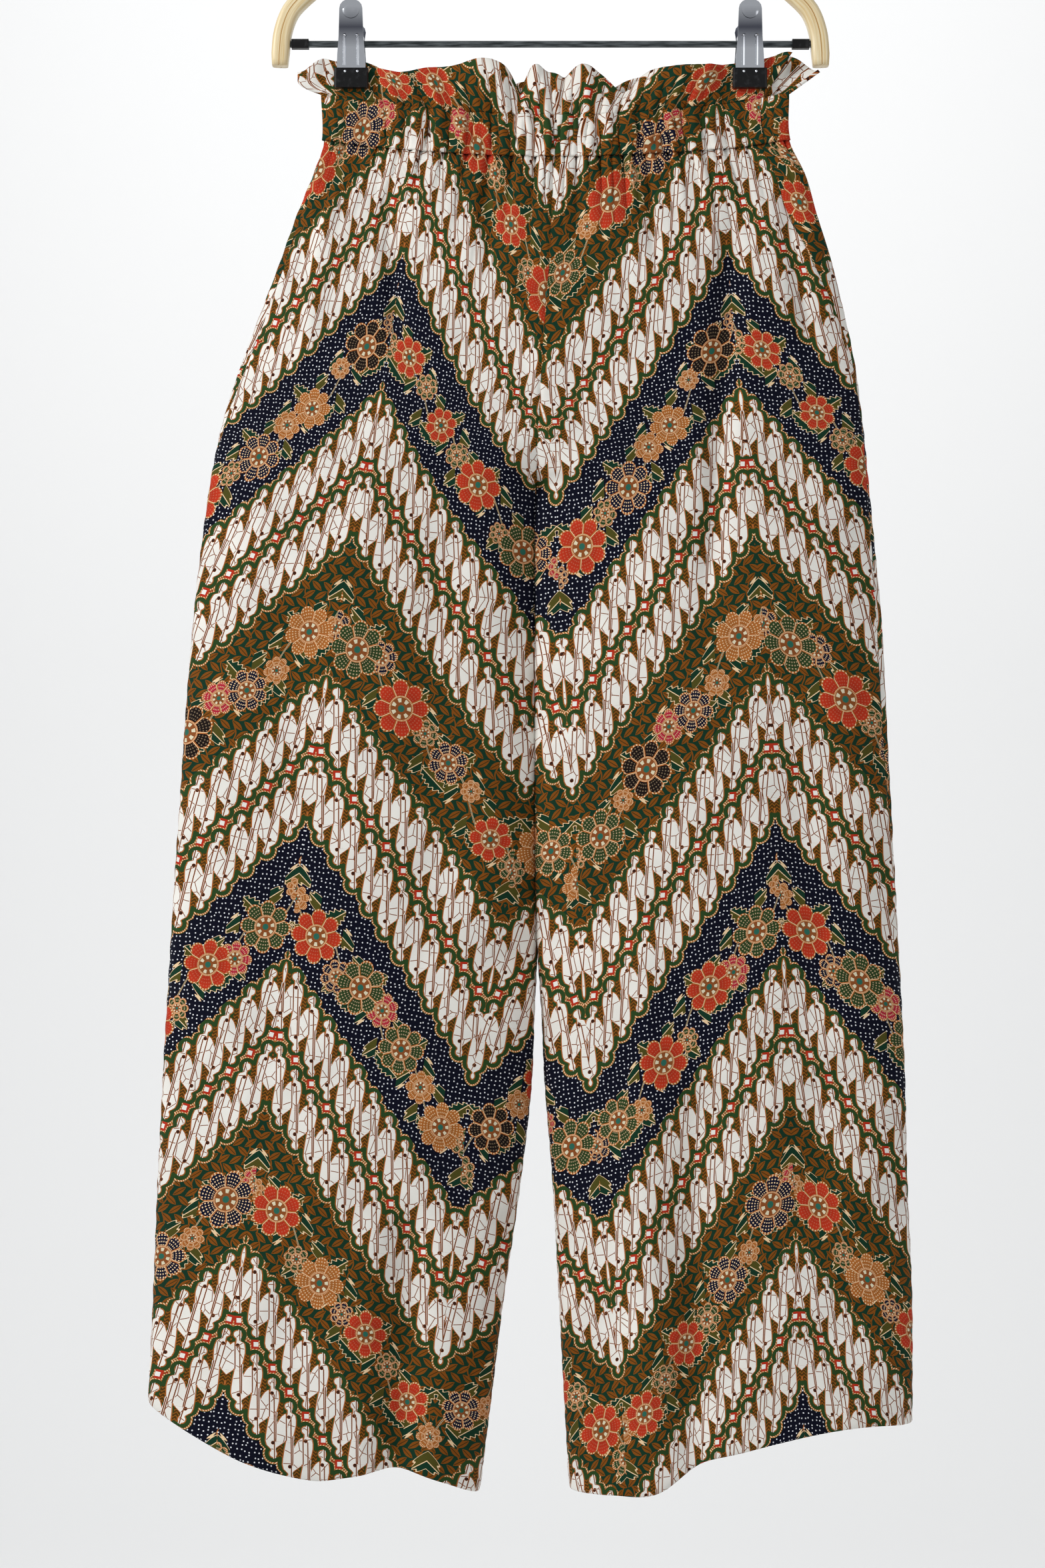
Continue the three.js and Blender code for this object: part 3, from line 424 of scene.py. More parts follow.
# level, right peak, right valley, left peak, left valley
PRINT_LINES = np.array([
    (-170, -82, 3, 112, 13), (-279, -97, 2, 120, 11), (-407, -117, -1, 132, 6),
    (-483, -132, -4, 139, 4), (-606, -155, -11, 151, 9), (-683, -166, -17, 155, 15),
    (-803, -183, -38, 162, 22), (-893, -196, -55, 166, 28), (-1002, -212, -67, 171, 38),
    (-1090, -225, -77, 175, 47), (-1185, -238, -90, 179, 55),
], float)
PRINT_START = {"right": -407.0, "left": -405.0}
PRINT_STRETCH = {"right": 1.0084, "left": 1.0101}
PRINT_SHIFT = {"front": (0.0, 0.0), "back": (3.0, -7.0)}
# level, and how much a chevron falls more than 45 degrees would: right inner and outer flank,
# left inner and outer flank
FLANK_SLOPES = np.array([
    (-170, 0.144, -0.144, 0.07, -0.07), (-300, 0.144, -0.144, 0.07, -0.04),
    (-574, 0.165, -0.11, 0.168, 0.08), (-990, 0.18, -0.1, 0.24, 0.18),
    (-1185, 0.18, -0.1, 0.24, 0.2),
], float)


def print_place(side, face, points):
    """The flat cloth's place of each point of a grid. Across: the way over the cloth from the
    line of peaks, scaled so that the line of valleys is at 153.5. Each step of the way is its
    step in x, or DEEP_WAY of its step in y where the cloth turns deep. Down: the level's fall,
    less the extra fall of the flank. The lines were found in a front view, so the front is
    compared with them in perspective: off the view's middle by distance / (distance + y)."""
    far = DISTANCE / MM
    near = far / (far + np.minimum(points[..., 1], 0))
    seen_x = VIEW_MIDDLE[0] + (points[..., 0] - VIEW_MIDDLE[0]) * near
    seen_z = VIEW_MIDDLE[1] + (points[..., 2] - VIEW_MIDDLE[1]) * near
    steps_x, steps_y = np.abs(np.diff(seen_x, axis=1)), np.abs(np.diff(points[..., 1], axis=1))
    length = np.cumsum(np.maximum(steps_x, DEEP_WAY * steps_y), axis=1)
    length = np.concatenate([np.zeros((len(points), 1)), length], axis=1)
    column = 1 if side == "right" else 3
    order = np.sign(points[0, -1, 0] - points[0, 0, 0])
    at = []
    for line in (column, column + 1):
        x = curve_through(PRINT_LINES[:, 0], PRINT_LINES[:, line], seen_z)
        at.append(np.array([
            np.interp(0.0, order * (seen_x[i] - x[i]), length[i]) for i in range(len(x))
        ]))
    peak, valley = at
    inward = (length - peak[:, None]) * (PEAK_TO_VALLEY / (valley - peak))[:, None]
    down = (PRINT_START[side] - seen_z) * PRINT_STRETCH[side]
    inner, outer = [curve_through(FLANK_SLOPES[:, 0], FLANK_SLOPES[:, flank], seen_z)
                    for flank in (column, column + 1)]
    down = down - np.where(inward > 0, inward * inner, -inward * outer)
    # above the crotch the gathers and the front seam hide a share of the cloth between the
    # lines; the motifs keep their size there, and the bands keep their place
    hidden = HIDDEN_SHARE * smooth(CROTCH, CROTCH + HIDDEN_TOP, seen_z)
    down = down - np.abs(inward) * hidden
    out = inward * (1 - hidden) * (1 if side == "right" else -1)
    return np.stack([out, down], axis=-1) + PRINT_SHIFT[face]


# %% [markdown]
# ## Leg panels
# Each leg is cut as a front and a back panel, sewn at the side and inside, with a 15 mm hem that
# turns up inside. A seam pulls its line a little into the cloth, and its stitches pucker it.
# Small wrinkles of worn cotton go over the large folds, along the normal.

# %% Leg panels
LEG_ROWS, LEG_COLUMNS, HEM_ROWS = 214, 150, 9
# the hem: its depth, the radius of its half round, the length of print in it, and the share of its
# rows that make the round
HEM_DEPTH, HEM_FOLD, HEM_PRINT, HEM_ROUND = 15.0, 0.9, 17.0, 0.4
CLOTH_WALL = 0.6
CREASE_DEPTH, CREASE_SHARPNESS = 3.6, 7
SEAM_DIP = {"depth": 0.9, "width": 2.4, "pucker": 0.35, "reach": 9.0, "pitch": 2.9}
HEM_DIP = {"depth": 0.5, "width": 1.6, "pucker": 0.3, "reach": 6.0, "pitch": 3.1}


def wrinkles(points, side, face):
    """Two crossed sets of slow waves, bent by a slower one, with a finer set that rides them."""
    x, z = points[..., 0], points[..., 2]
    lead = (0.0 if side == "right" else 2.4) + (0.0 if face == "front" else 4.1)
    bend = 14 * np.sin(z / 97 + lead) + 6 * np.sin(x / 31 + z / 61 - lead)
    first = np.sin((x + bend) / 17 + 0.6 * np.sin(z / 53 + lead))
    second = np.sin((0.55 * x - 0.83 * z + bend) / 23 + lead)
    return 0.55 * first * second + 0.22 * np.sin((x * 0.9 + z * 0.45 + bend) / 9.3 + lead) * second


def gather_creases(side, turn, share, drop):
    """A narrow crease between gathers, ((1 + sin) / 2)^7, that fades down at its own length."""
    crease = ((1 + np.sin(gather_phase(share, side) * 1.9 + 1.2 * turn)) / 2) ** CREASE_SHARPNESS
    reach = 34 + 16 * np.sin(17 * share + 2 * turn)
    return crease * np.exp(-np.maximum(0, drop) / reach)


def turned_hem(edge, normal, uv):
    """From the hem's edge: a half round to the inside, then straight up."""
    turn_up = np.linspace(0, 1, HEM_ROWS)[1:, None]
    round_part = np.minimum(turn_up / HEM_ROUND, 1)
    inwards = HEM_FOLD * (1 - np.cos(np.pi * round_part))
    downwards = HEM_FOLD * np.sin(np.pi * round_part)
    upwards = HEM_DEPTH * np.maximum(0, turn_up - HEM_ROUND) / (1 - HEM_ROUND)
    turned = edge - unit(normal * np.array([1, 1, 0])) * inwards[..., None]
    turned[..., 2] += upwards - downwards
    turned_uv = uv + 0 * turned[..., :2]
    turned_uv[..., 1] += turn_up * HEM_PRINT
    return turned, turned_uv


def leg_grid(side, face):
    """One panel's outer face from the casing to the hem's edge and up inside the hem."""
    turn = 1 if face == "front" else -1
    hem = float(hem_level(side, "front", 1.0))
    level = np.linspace(CASING_BOTTOM["middle"], hem, LEG_ROWS)[:, None]
    start = seam_way(side, level) * turn
    way = mix(start, 1.0, np.linspace(0, 1, LEG_COLUMNS)[None, :])
    z = row_level(side, way * turn, level + 0 * way)
    points = cloth_point(side, way * turn, z)
    outward = np.array([0, -turn, 0])
    normal = outer_normals(points, outward)
    uv = print_place(side, face, points)
    from_side, from_inside = [np.abs(uv[..., 0] - uv[:, end, 0][:, None]) for end in (0, -1)]
    from_seam = np.minimum(from_side, from_inside)
    above_hem = z - z[-1:] - HEM_DEPTH
    drop = points[0, :, 2] - z
    dips, puckers = [
        size * (bell(from_side, width) + bell(from_inside, width))
        for size, width in ((SEAM_DIP["depth"], SEAM_DIP["width"]), (SEAM_DIP["pucker"], SEAM_DIP["reach"]))
    ]
    dips = dips + HEM_DIP["depth"] * bell(above_hem, HEM_DIP["width"])
    puckers = puckers * np.sin(uv[..., 1] / SEAM_DIP["pitch"])
    hem_puckers = HEM_DIP["pucker"] * bell(above_hem, HEM_DIP["reach"])
    puckers = puckers + hem_puckers * np.sin(uv[..., 0] / HEM_DIP["pitch"])
    calm = smooth(0, 14, from_seam) * smooth(0, 22, drop)
    push = wrinkles(points, side, face) * calm - dips + puckers * smooth(0, 8, from_seam + 4)
    loose = 1 - nip_share(points[..., 0], z)
    creases = gather_creases(side, turn, across(way), drop) * mix(0.4, 1, loose)
    push = push - CREASE_DEPTH * creases * smooth(0, 10, from_side)
    points = points + normal * push[..., None]
    turned, turned_uv = turned_hem(points[-1], normal[-1], uv[-1])
    points, uv = np.concatenate([points, turned]), np.concatenate([uv, turned_uv])
    return {"points": points, "uv": uv, "flip": not facing(points[:LEG_ROWS], outward)}


leg_pieces = {}
for side in ("right", "left"):
    for face in ("front", "back"):
        grid = leg_grid(side, face)
        piece = cloth_piece(f"{side}_leg_{face}_cloth", [grid], CLOTH_WALL)
        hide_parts(f"{side}_leg_{face}")
        leg_pieces[side, face] = piece

# %% [markdown]
# ## Waist casing
# The elastic runs in a channel between two rows of stitches. It pulls the cloth into short
# uneven puckers, so the casing's face is ribbed, deepest half-way up, and drawn in along both
# rows of stitches.

# %% Waist casing
CASING_WALL, CASING_PUFF, RIB_HEIGHT = 1.5, 1.2, 1.2
CASING_ROWS, WAIST_COLUMNS = 22, 170


def waist_ways(side, face, seam_level):
    """Ways from the side seam to the centre line for one half of a waist piece."""
    start = float(seam_way(side, seam_level)) * (1 if face == "front" else -1)
    return mix(start, 1.0, np.linspace(0, 1, WAIST_COLUMNS))[None, :]


def casing_grid(side, face):
    """The casing's face: the cloth's surface, puffed between the stitch rows and ribbed."""
    turn = 1 if face == "front" else -1
    way = waist_ways(side, face, -220.0) * turn
    down = np.linspace(0, 1, CASING_ROWS)[:, None]
    share = across(way)
    z = mix(sagged(CASING_TOP, share), sagged(CASING_BOTTOM, share), down)
    points = cloth_point(side, way + 0 * down, z)
    outward = np.array([0, -turn, 0])
    normal = outer_normals(points, outward)
    loose = 1 - nip_share(points[..., 0], z)
    uv = print_place(side, face, points)
    ribs = np.sin(gather_phase(share, side) * 2.6 + 1.5 * np.sin(down * 4 + share * 9))
    ribs = ribs + 0.6 * np.sin(gather_phase(share, side) * 4.3 - 2.2 * down)
    between = np.sin(np.pi * np.clip((down - 0.1) / 0.8, 0, 1))
    puff = CASING_PUFF * between + RIB_HEIGHT * ribs * (0.35 + 0.65 * between)
    lip = 0.5 * smooth(0.1, 0, down) + 0.3 * smooth(0.9, 1, down)
    points = points + normal * ((puff + lip) * loose * smooth(0.0, 0.06, share))[..., None]
    return {"points": points, "uv": uv, "flip": not facing(points, outward)}


waist_pieces = {}
for face in ("front", "back"):
    halves = [casing_grid("right", face), casing_grid("left", face)]
    piece = cloth_piece(f"waist_casing_{face}_cloth", halves, CASING_WALL)
    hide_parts(f"waist_casing_{face}")
    waist_pieces["casing", face] = piece

# %% [markdown]
# ## Frill
# Above the casing the doubled cloth stands up free as a paper-bag frill. Its free edge waves back
# and forth between the clips, and the gathers of the casing run up into it and open out.

# %% Frill
FRILL_HEIGHT, FRILL_WALL = 30.0, 1.2
FRILL_ROWS = 20
FRILL_TIPS = {"right": -175.3, "left": 187.4}
# x, width, lift, forward
FRILL_WAVES = {
    "front": np.array([
        (-175, 12, -15, 0), (-150, 7, -3, 2), (-106, 15, -7, 5), (-46, 18, 7, 9),
        (-22, 6.5, -12, -7), (-10.5, 5, 5, 6), (10, 5, -3, -5), (23, 8, 5, 5), (51, 12, -14, -6),
        (92, 17, 0, 7), (164, 12, 2, 2), (187, 12, -14, 0),
    ], float),
    "back": np.array([
        (-175, 12, -15, 0), (-150, 7, -3, 2), (-104, 14, -5, 6), (-70, 11, 1, -4), (-38, 13, -6, 7),
        (-2, 10, 1, -3), (34, 14, -9, 7), (66, 11, 0, -4), (100, 14, -5, 6), (164, 12, 2, 2),
        (187, 12, -14, 0),
    ], float),
}


def frill_grid(side, face):
    """From the casing's upper edge to the free edge: a straight blend, bowed outwards."""
    turn = 1 if face == "front" else -1
    way = waist_ways(side, face, -200.0) * turn
    rise = np.linspace(0, 1, FRILL_ROWS)[::-1, None]
    share = across(way)
    root = cloth_point(side, way, sagged(CASING_TOP, share))
    free_x = mix(FRILL_TIPS[side], WAIST_CENTRE, share)
    free_z = sagged(CASING_TOP, share) + FRILL_HEIGHT
    stand = 7.0 + 0 * share
    for x, width, lift, forward in FRILL_WAVES[face]:
        free_z = free_z + lift * bell(free_x - x, width)
        stand = stand + forward * bell(free_x - x, width)
    if face == "back":
        free_z = free_z - 2 * smooth(0.14, 0.3, share)
    stand = stand * (smooth(0, 0.16, share) * 0.8 + fold_round(share) * 0.2)
    # the right end bellies out below its edge, and the left one runs to a point
    belly = np.sin(np.pi / 2 * np.minimum(1, rise / 0.62)) if side == "right" else rise
    x = mix(root[..., 0], free_x, mix(belly, rise, smooth(0, 0.16, share)))
    bow = np.sin(np.pi * rise) * 1.5 * smooth(0, 0.1, share)
    loose = mix(np.abs(root[..., 1]), stand, rise) + bow
    jaws = 1 - smooth(CLIP_REACH, CLIP_REACH + 13, np.abs(np.abs(x) - CLIP_X))
    crinkle = np.sin(gather_phase(share, side) * 2.2 + 1.1 * rise + turn)
    crinkle = crinkle + 0.5 * np.sin(gather_phase(share, side) * 3.7 - 2.0 * rise)
    loose = loose + 0.75 * crinkle * smooth(0.03, 0.12, share) * smooth(1.25, 0.2, rise)
    nipped = np.maximum(mix(loose, 0, jaws * smooth(0, 0.1, rise)), NIP * fold_round(share))
    points = np.stack([x, -turn * nipped, mix(root[..., 2], free_z, rise)], axis=-1)
    uv = print_place(side, face, root)
    up = rise * FRILL_HEIGHT * PRINT_STRETCH[side]
    uv = np.stack([uv[..., 0] + 0 * up, uv[..., 1] - up], axis=-1)
    return {"points": points, "uv": uv, "flip": not facing(points, np.array([0, -turn, 0]))}


for face in ("front", "back"):
    halves = [frill_grid("right", face), frill_grid("left", face)]
    piece = cloth_piece(f"waist_frill_{face}_cloth", halves, FRILL_WALL)
    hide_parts(f"waist_frill_{face}")
    waist_pieces["frill", face] = piece

# %% [markdown]
# ## Sums on shader nodes
# The batik print is drawn by sums on the flat cloth's place, because it repeats without end and
# has to stay sharp in the folds. Written as nodes one by one it couldn't be read, so a small
# class turns ordinary arithmetic into Math nodes.

# %% Sums on shader nodes


class Sum:
    """A number that flows through a node tree. Arithmetic with it adds Math nodes."""

    def __init__(self, tree, socket):
        self.tree, self.socket = tree, socket

    def math(self, operation, *others):
        node = self.tree.nodes.new("ShaderNodeMath")
        node.operation = operation
        for slot, value in zip(node.inputs, (self, *others)):
            join(self.tree, value, slot)
        return Sum(self.tree, node.outputs[0])

    def __add__(self, other):
        return self.math("ADD", other)

    def __sub__(self, other):
        return self.math("SUBTRACT", other)

    def __mul__(self, other):
        return self.math("MULTIPLY", other)

    def __truediv__(self, other):
        return self.math("DIVIDE", other)

    def __lt__(self, other):
        return self.math("LESS_THAN", other)

    def __gt__(self, other):
        return self.math("GREATER_THAN", other)

    def __abs__(self):
        return self.math("ABSOLUTE")

    def least(self, other):
        return self.math("MINIMUM", other)

    def most(self, other):
        return self.math("MAXIMUM", other)

    def floor(self):
        return self.math("FLOOR")

    def within(self, low, high):
        """1 between low and high, 0 outside."""
        middle, half = (low + high) / 2, (high - low) / 2
        return abs(self - middle) < half

    def repeat(self, pitch):
        """How far this is from the middle of its cell, in a row of cells one pitch wide."""
        return (self / pitch).math("FRACT").math("MULTIPLY_ADD", pitch, -pitch / 2)


def join(tree, value, slot):
    """Links a sum or a socket to a slot, or sets the slot's own number or colour."""
    if isinstance(value, Sum):
        tree.links.new(value.socket, slot)
    elif isinstance(value, bpy.types.NodeSocket):
        tree.links.new(value, slot)
    else:
        slot.default_value = value


def node_of(tree, kind, inputs=None, **settings):
    """A node with its settings and inputs."""
    node = tree.nodes.new(kind)
    for key, value in settings.items():
        setattr(node, key, value)
    for key, value in (inputs or {}).items():
        join(tree, value, node.inputs[key])
    return node


def dye(code):
    """A colour from its six-figure code, as the linear light that shaders use."""
    parts = [int(code[i:i + 2], 16) / 255 for i in (0, 2, 4)]
    return (*[p / 12.92 if p <= 0.04045 else ((p + 0.055) / 1.055) ** 2.4 for p in parts], 1.0)


def paint(tree, under, over, mask):
    """One colour laid over another where the mask is 1."""
    node = node_of(tree, "ShaderNodeMix", data_type="RGBA")
    join(tree, mask, node.inputs[0])
    join(tree, under, node.inputs[6])
    join(tree, over, node.inputs[7])
    return node.outputs[2]


def new_group(name, inputs, outputs):
    """An empty shader node group with its named sockets; returns it with its ends."""
    group = bpy.data.node_groups.new(name, "ShaderNodeTree")
    for title, kind, value in inputs:
        socket = group.interface.new_socket(title, in_out="INPUT", socket_type=kind)
        if value is not None:
            socket.default_value = value
    for title, kind in outputs:
        group.interface.new_socket(title, in_out="OUTPUT", socket_type=kind)
    start, end = group.nodes.new("NodeGroupInput"), group.nodes.new("NodeGroupOutput")
    return group, start.outputs, end.inputs


# %% [markdown]
# ## The chevron motif
# Each chevron band is a chain of tall white blades that lean on each other. A blade has a round
# head, a strand that swings from right to left, a leaf at its lower right and a knob at its foot.
# A dark vein runs along strand and leaf, with a small curl at the end of each. The sides of strand
# and leaf are drawn as curves of the height, and the round parts as circles. The colours round a
# blade follow from the distance to its white.

# %% Chevron motif
# bands in mm of cloth, and a motif in its own units, each MOTIF_UNIT mm across and up
BAND_PERIOD, BAND_HEIGHT = 200.0, 119.0
MOTIF_STEP = (26.5, 38.0)
MOTIF_UNIT = (0.457, 0.426)
MOTIF_START = (14.1, 38.4)
MOTIF_LEFT = -20.4
ROW_DROP, ROW_SPLIT = 158.0, 139.5
MOTIF_LEAN = math.radians(8.2)
CURVE_LOW, CURVE_SPAN, CURVE_REACH = -12.0, 140.0, 30.0
FAR = CURVE_REACH
# height, left side, right side, vein
STRAND = [
    (-12, FAR, -FAR, FAR), (2, FAR, -FAR, FAR), (3.6, -1.7, 2.2, FAR), (9.6, -1.2, 2.6, FAR),
    (11, -1.4, 4.4, FAR), (13, -1.8, 8.5, FAR), (14.9, -2.1, 10, FAR), (15.2, -2.2, 10.2, -3.9),
    (22, -2.4, 11.2, -3.9), (30, -2.4, 11, -3.9), (40, -2.6, 8.8, -3.9), (50, -3, 6.2, -3.9),
    (56, -4, 5.4, -4.2), (57, -4.2, 5.4, FAR), (70, -7, 5, FAR), (85, -9.4, 4.6, FAR),
    (95, -10.2, 4.4, FAR), (102, -8.6, 4, FAR), (106, -4.5, 3.4, FAR), (109, -1.4, 2.8, FAR),
    (112, -1.5, 3.2, FAR), (114, 8, -6, FAR), (119, FAR, -FAR, FAR), (128, FAR, -FAR, FAR),
]
LEAF = [
    (-12, FAR, -FAR, FAR), (44, FAR, -FAR, FAR), (47.6, 26, 10, FAR), (48, 25, 14, 6.4),
    (50, 22, 21, 6.4), (52, 19, 21.6, 6.3), (55, 15.5, 21.8, 6.2), (60, 12, 21.8, 6.2),
    (66, 9, 21.8, 6.1), (70, 7.6, 21.8, 6.1), (80, 7.2, 21.8, 6), (90, 7, 21.4, 5.8),
    (96, 6.4, 19, 5.5), (97, 6.2, 17.5, FAR), (99, 5.6, 15, FAR), (103, 3, 9.5, FAR),
    (107, 1, 4.5, FAR), (110, 4, 0, FAR), (114, FAR, -FAR, FAR), (128, FAR, -FAR, FAR),
]
HEAD, KNOB = (0.0, 0.0, 5.7), (1.5, 116.0, 5.4)
TOP_CURL, FOOT_CURL = (0.2, 17.5, 2.3), (1.2, 98.0, 2.3)
# distances from the white: its brown rim, the border line with its half-width, and the red
RIM, BORDER, BORDER_HALF, MARGIN = 1.8, 9.9, 1.4, 12.0
VEIN_BROWN, VEIN_DARK, BEAD = 0.95, 0.42, 1.1
RED_SQUARE = {"x": 2.0, "y": 135.0, "half": 7.4, "white_half": 3.7}


def curves_of(tree, rows, height):
    """Three numbers as curves of a height: a blade's left side, right side and vein."""
    place = height.math("MULTIPLY_ADD", 1 / CURVE_SPAN, -CURVE_LOW / CURVE_SPAN)
    node = node_of(tree, "ShaderNodeRGBCurve", {"Color": place})
    for channel in range(3):
        curve = node.mapping.curves[channel]
        for i, row in enumerate(rows):
            at = (row[0] - CURVE_LOW) / CURVE_SPAN
            value = (row[1 + channel] + CURVE_REACH) / (2 * CURVE_REACH)
            if i in (0, len(rows) - 1):
                point = curve.points[0 if i == 0 else -1]
                point.location = (at, value)
            else:
                point = curve.points.new(at, value)
            point.handle_type = "VECTOR"
    node.mapping.update()
    parts = node_of(tree, "ShaderNodeSeparateColor", {"Color": node.outputs["Color"]})
    return [Sum(tree, out).math("MULTIPLY_ADD", 2 * CURVE_REACH, -CURVE_REACH) for out in parts.outputs]


def from_circle(tree, place, circle):
    """The distance from a circle's edge, less than 0 inside."""
    node = node_of(tree, "ShaderNodeVectorMath", {0: place}, operation="DISTANCE")
    node.inputs[1].default_value = (circle[0], circle[1], 0)
    return Sum(tree, node.outputs["Value"]) - circle[2]


def blade(tree, x, y):
    """Distances of a point from one blade's white, from its veins and from its curls."""
    place = node_of(tree, "ShaderNodeCombineXYZ", {0: x, 1: y}).outputs[0]
    left, right, vein = curves_of(tree, STRAND, y)
    white = (left - x).most(x - right)
    left, right, rib = curves_of(tree, LEAF, y)
    white = white.least((left - x).most(x - right))
    white = white.least(from_circle(tree, place, HEAD)).least(from_circle(tree, place, KNOB))
    veins = abs(x - vein).least(abs(x - rib))
    curls = from_circle(tree, place, TOP_CURL).least(from_circle(tree, place, FOOT_CURL))
    return white, veins, curls


# %% [markdown]
# ## The print
# Between the chevrons run bands of flowers, on green with leaf sprigs and on navy with dots by
# turns. One group holds the whole print. Folding the width back and forth at each peak and
# valley makes the chevrons, and a random number for each flower chooses its petals.

# %% Batik print
DYES = {
    "white": dye("EDEAE2"), "soga": dye("AC622C"), "vein": dye("3A2016"), "green": dye("2A4420"),
    "leaf_green": dye("123524"), "pocket": dye("4A3210"), "squiggle": dye("8A5418"),
    "cream": dye("EBCBA0"), "red": dye("B4311C"), "navy": dye("0A0C1C"), "ochre": dye("824A14"),
    "dot": dye("DADCE0"), "crackle": dye("8A5638"), "disc": dye("8A4E26"), "teal": dye("2C6656"),
    "olive": dye("4E4A1C"), "seed": dye("DCD3B4"),
}
FLOWER_PITCH = PEAK_TO_VALLEY / 4
FLOWER_LINE = 160.0


def chevrons(tree, p, c):
    """Colours of a chevron band, the distance from its blades, and 1 where the band has ended.
    p is the way across from a peak, and c the place down in the band."""
    cos, sin = math.cos(MOTIF_LEAN), math.sin(MOTIF_LEAN)
    x = (p * ((cos - sin) / MOTIF_UNIT[0]) - c * (sin / MOTIF_UNIT[0])) - MOTIF_START[0]
    y = (p * ((cos + sin) / MOTIF_UNIT[1]) + c * (cos / MOTIF_UNIT[1])) - MOTIF_START[1]
    number = ((x - MOTIF_LEFT) / MOTIF_STEP[0]).floor()
    x, y = x - number * MOTIF_STEP[0], y - number * MOTIF_STEP[1]
    lower = y - (y > ROW_SPLIT) * ROW_DROP
    before = y + MOTIF_STEP[1]
    before = before - (before > ROW_SPLIT) * ROW_DROP
    white, veins, curls = blade(tree, x, lower)
    white_2, veins_2, curls_2 = blade(tree, x + MOTIF_STEP[0], before)
    away, veins, curls = white.least(white_2), veins.least(veins_2), curls.least(curls_2)
    pocket = x.within(-18.5, -8.5) * lower.within(-6, 21)
    pocket = pocket.most((x + MOTIF_STEP[0]).within(7, 16.5) * before.within(94, 121))
    wave = ((lower * 1.1) + (x * 0.75).math("SINE") * 1.9).math("SINE")
    ground = paint(tree, DYES["pocket"], DYES["squiggle"], wave > 0.35)
    colour = paint(tree, DYES["green"], ground, pocket)
    middle = y.within(96, 196)
    colour = paint(tree, colour, DYES["red"], (away > MARGIN) * middle)
    edge = away - BORDER
    colour = paint(tree, colour, DYES["soga"], (abs(edge) < BORDER_HALF).most(away < RIM))
    along = (x + lower).repeat((MOTIF_STEP[0] + MOTIF_STEP[1]) / 13)
    colour = paint(tree, colour, DYES["cream"], abs(edge).most(abs(along)) < BEAD)
    square = abs(x - RED_SQUARE["x"]).most(abs(y - RED_SQUARE["y"]))
    colour = paint(tree, colour, DYES["red"], square < RED_SQUARE["half"])
    colour = paint(tree, colour, DYES["white"], square < RED_SQUARE["white_half"])
    line = veins.least(curls.most(-1.0))
    white_part = paint(tree, DYES["white"], DYES["soga"], line < VEIN_BROWN)
    white_part = paint(tree, white_part, DYES["vein"], line < VEIN_DARK)
    inside = (away < 0).most((veins < 2.2) * (away < 2.4))
    colour = paint(tree, colour, white_part, inside)
    outside = (away > MARGIN + 0.1) * (middle < 0.5)
    return colour, away, outside


# petal colours by chance: from, colour, and how strongly light dots show on it
LARGE_PETALS = [(0.0, "B8341C", 0.12), (0.27, "1A1210", 0.22), (0.42, "10132A", 0.95),
                (0.55, "2C4020", 0.5), (0.68, "B8341C", 0.12), (0.8, "A8642C", 0.7)]
SMALL_PETALS = [(0.0, "25401F", 0.7), (0.3, "A8642C", 0.7), (0.55, "10132A", 0.9),
                (0.7, "25401F", 0.5), (0.84, "B0283A", 0.7)]
PETALS, BEADS = 8, 26
# the disc, its ring of seeds and its eye, as shares of a flower's size
DISC, SEEDS, EYE = 0.42, (0.22, 0.36), 0.12
SPRIG_ROW, SPRIG_PITCH = 6.4, 8.8
DOT_PITCH, DOT_RADIUS = 3.3, 0.16
SPRAY_SWING = 8.0
LEAF_HALF = (13.0, 5.4)
CRACKLE_SCALE, CRACKLE_EDGE = 105.0, 0.03
BAND_LEAD = 2.0
# distance from the band's middle, shift along it, and the way the tip points
SPRAY_LEAVES = [(17, 0.0, 1.0), (16, 0.25, -1.0)]
# shift along the band, least size, more size by chance, drift across by chance, petals; the small
# ones come first, so that the large ones lie over them
FLOWER_ROWS = [(0.0, 7.0, 5.0, 26.0, SMALL_PETALS), (0.5, 13.5, 7.0, 12.0, LARGE_PETALS)]


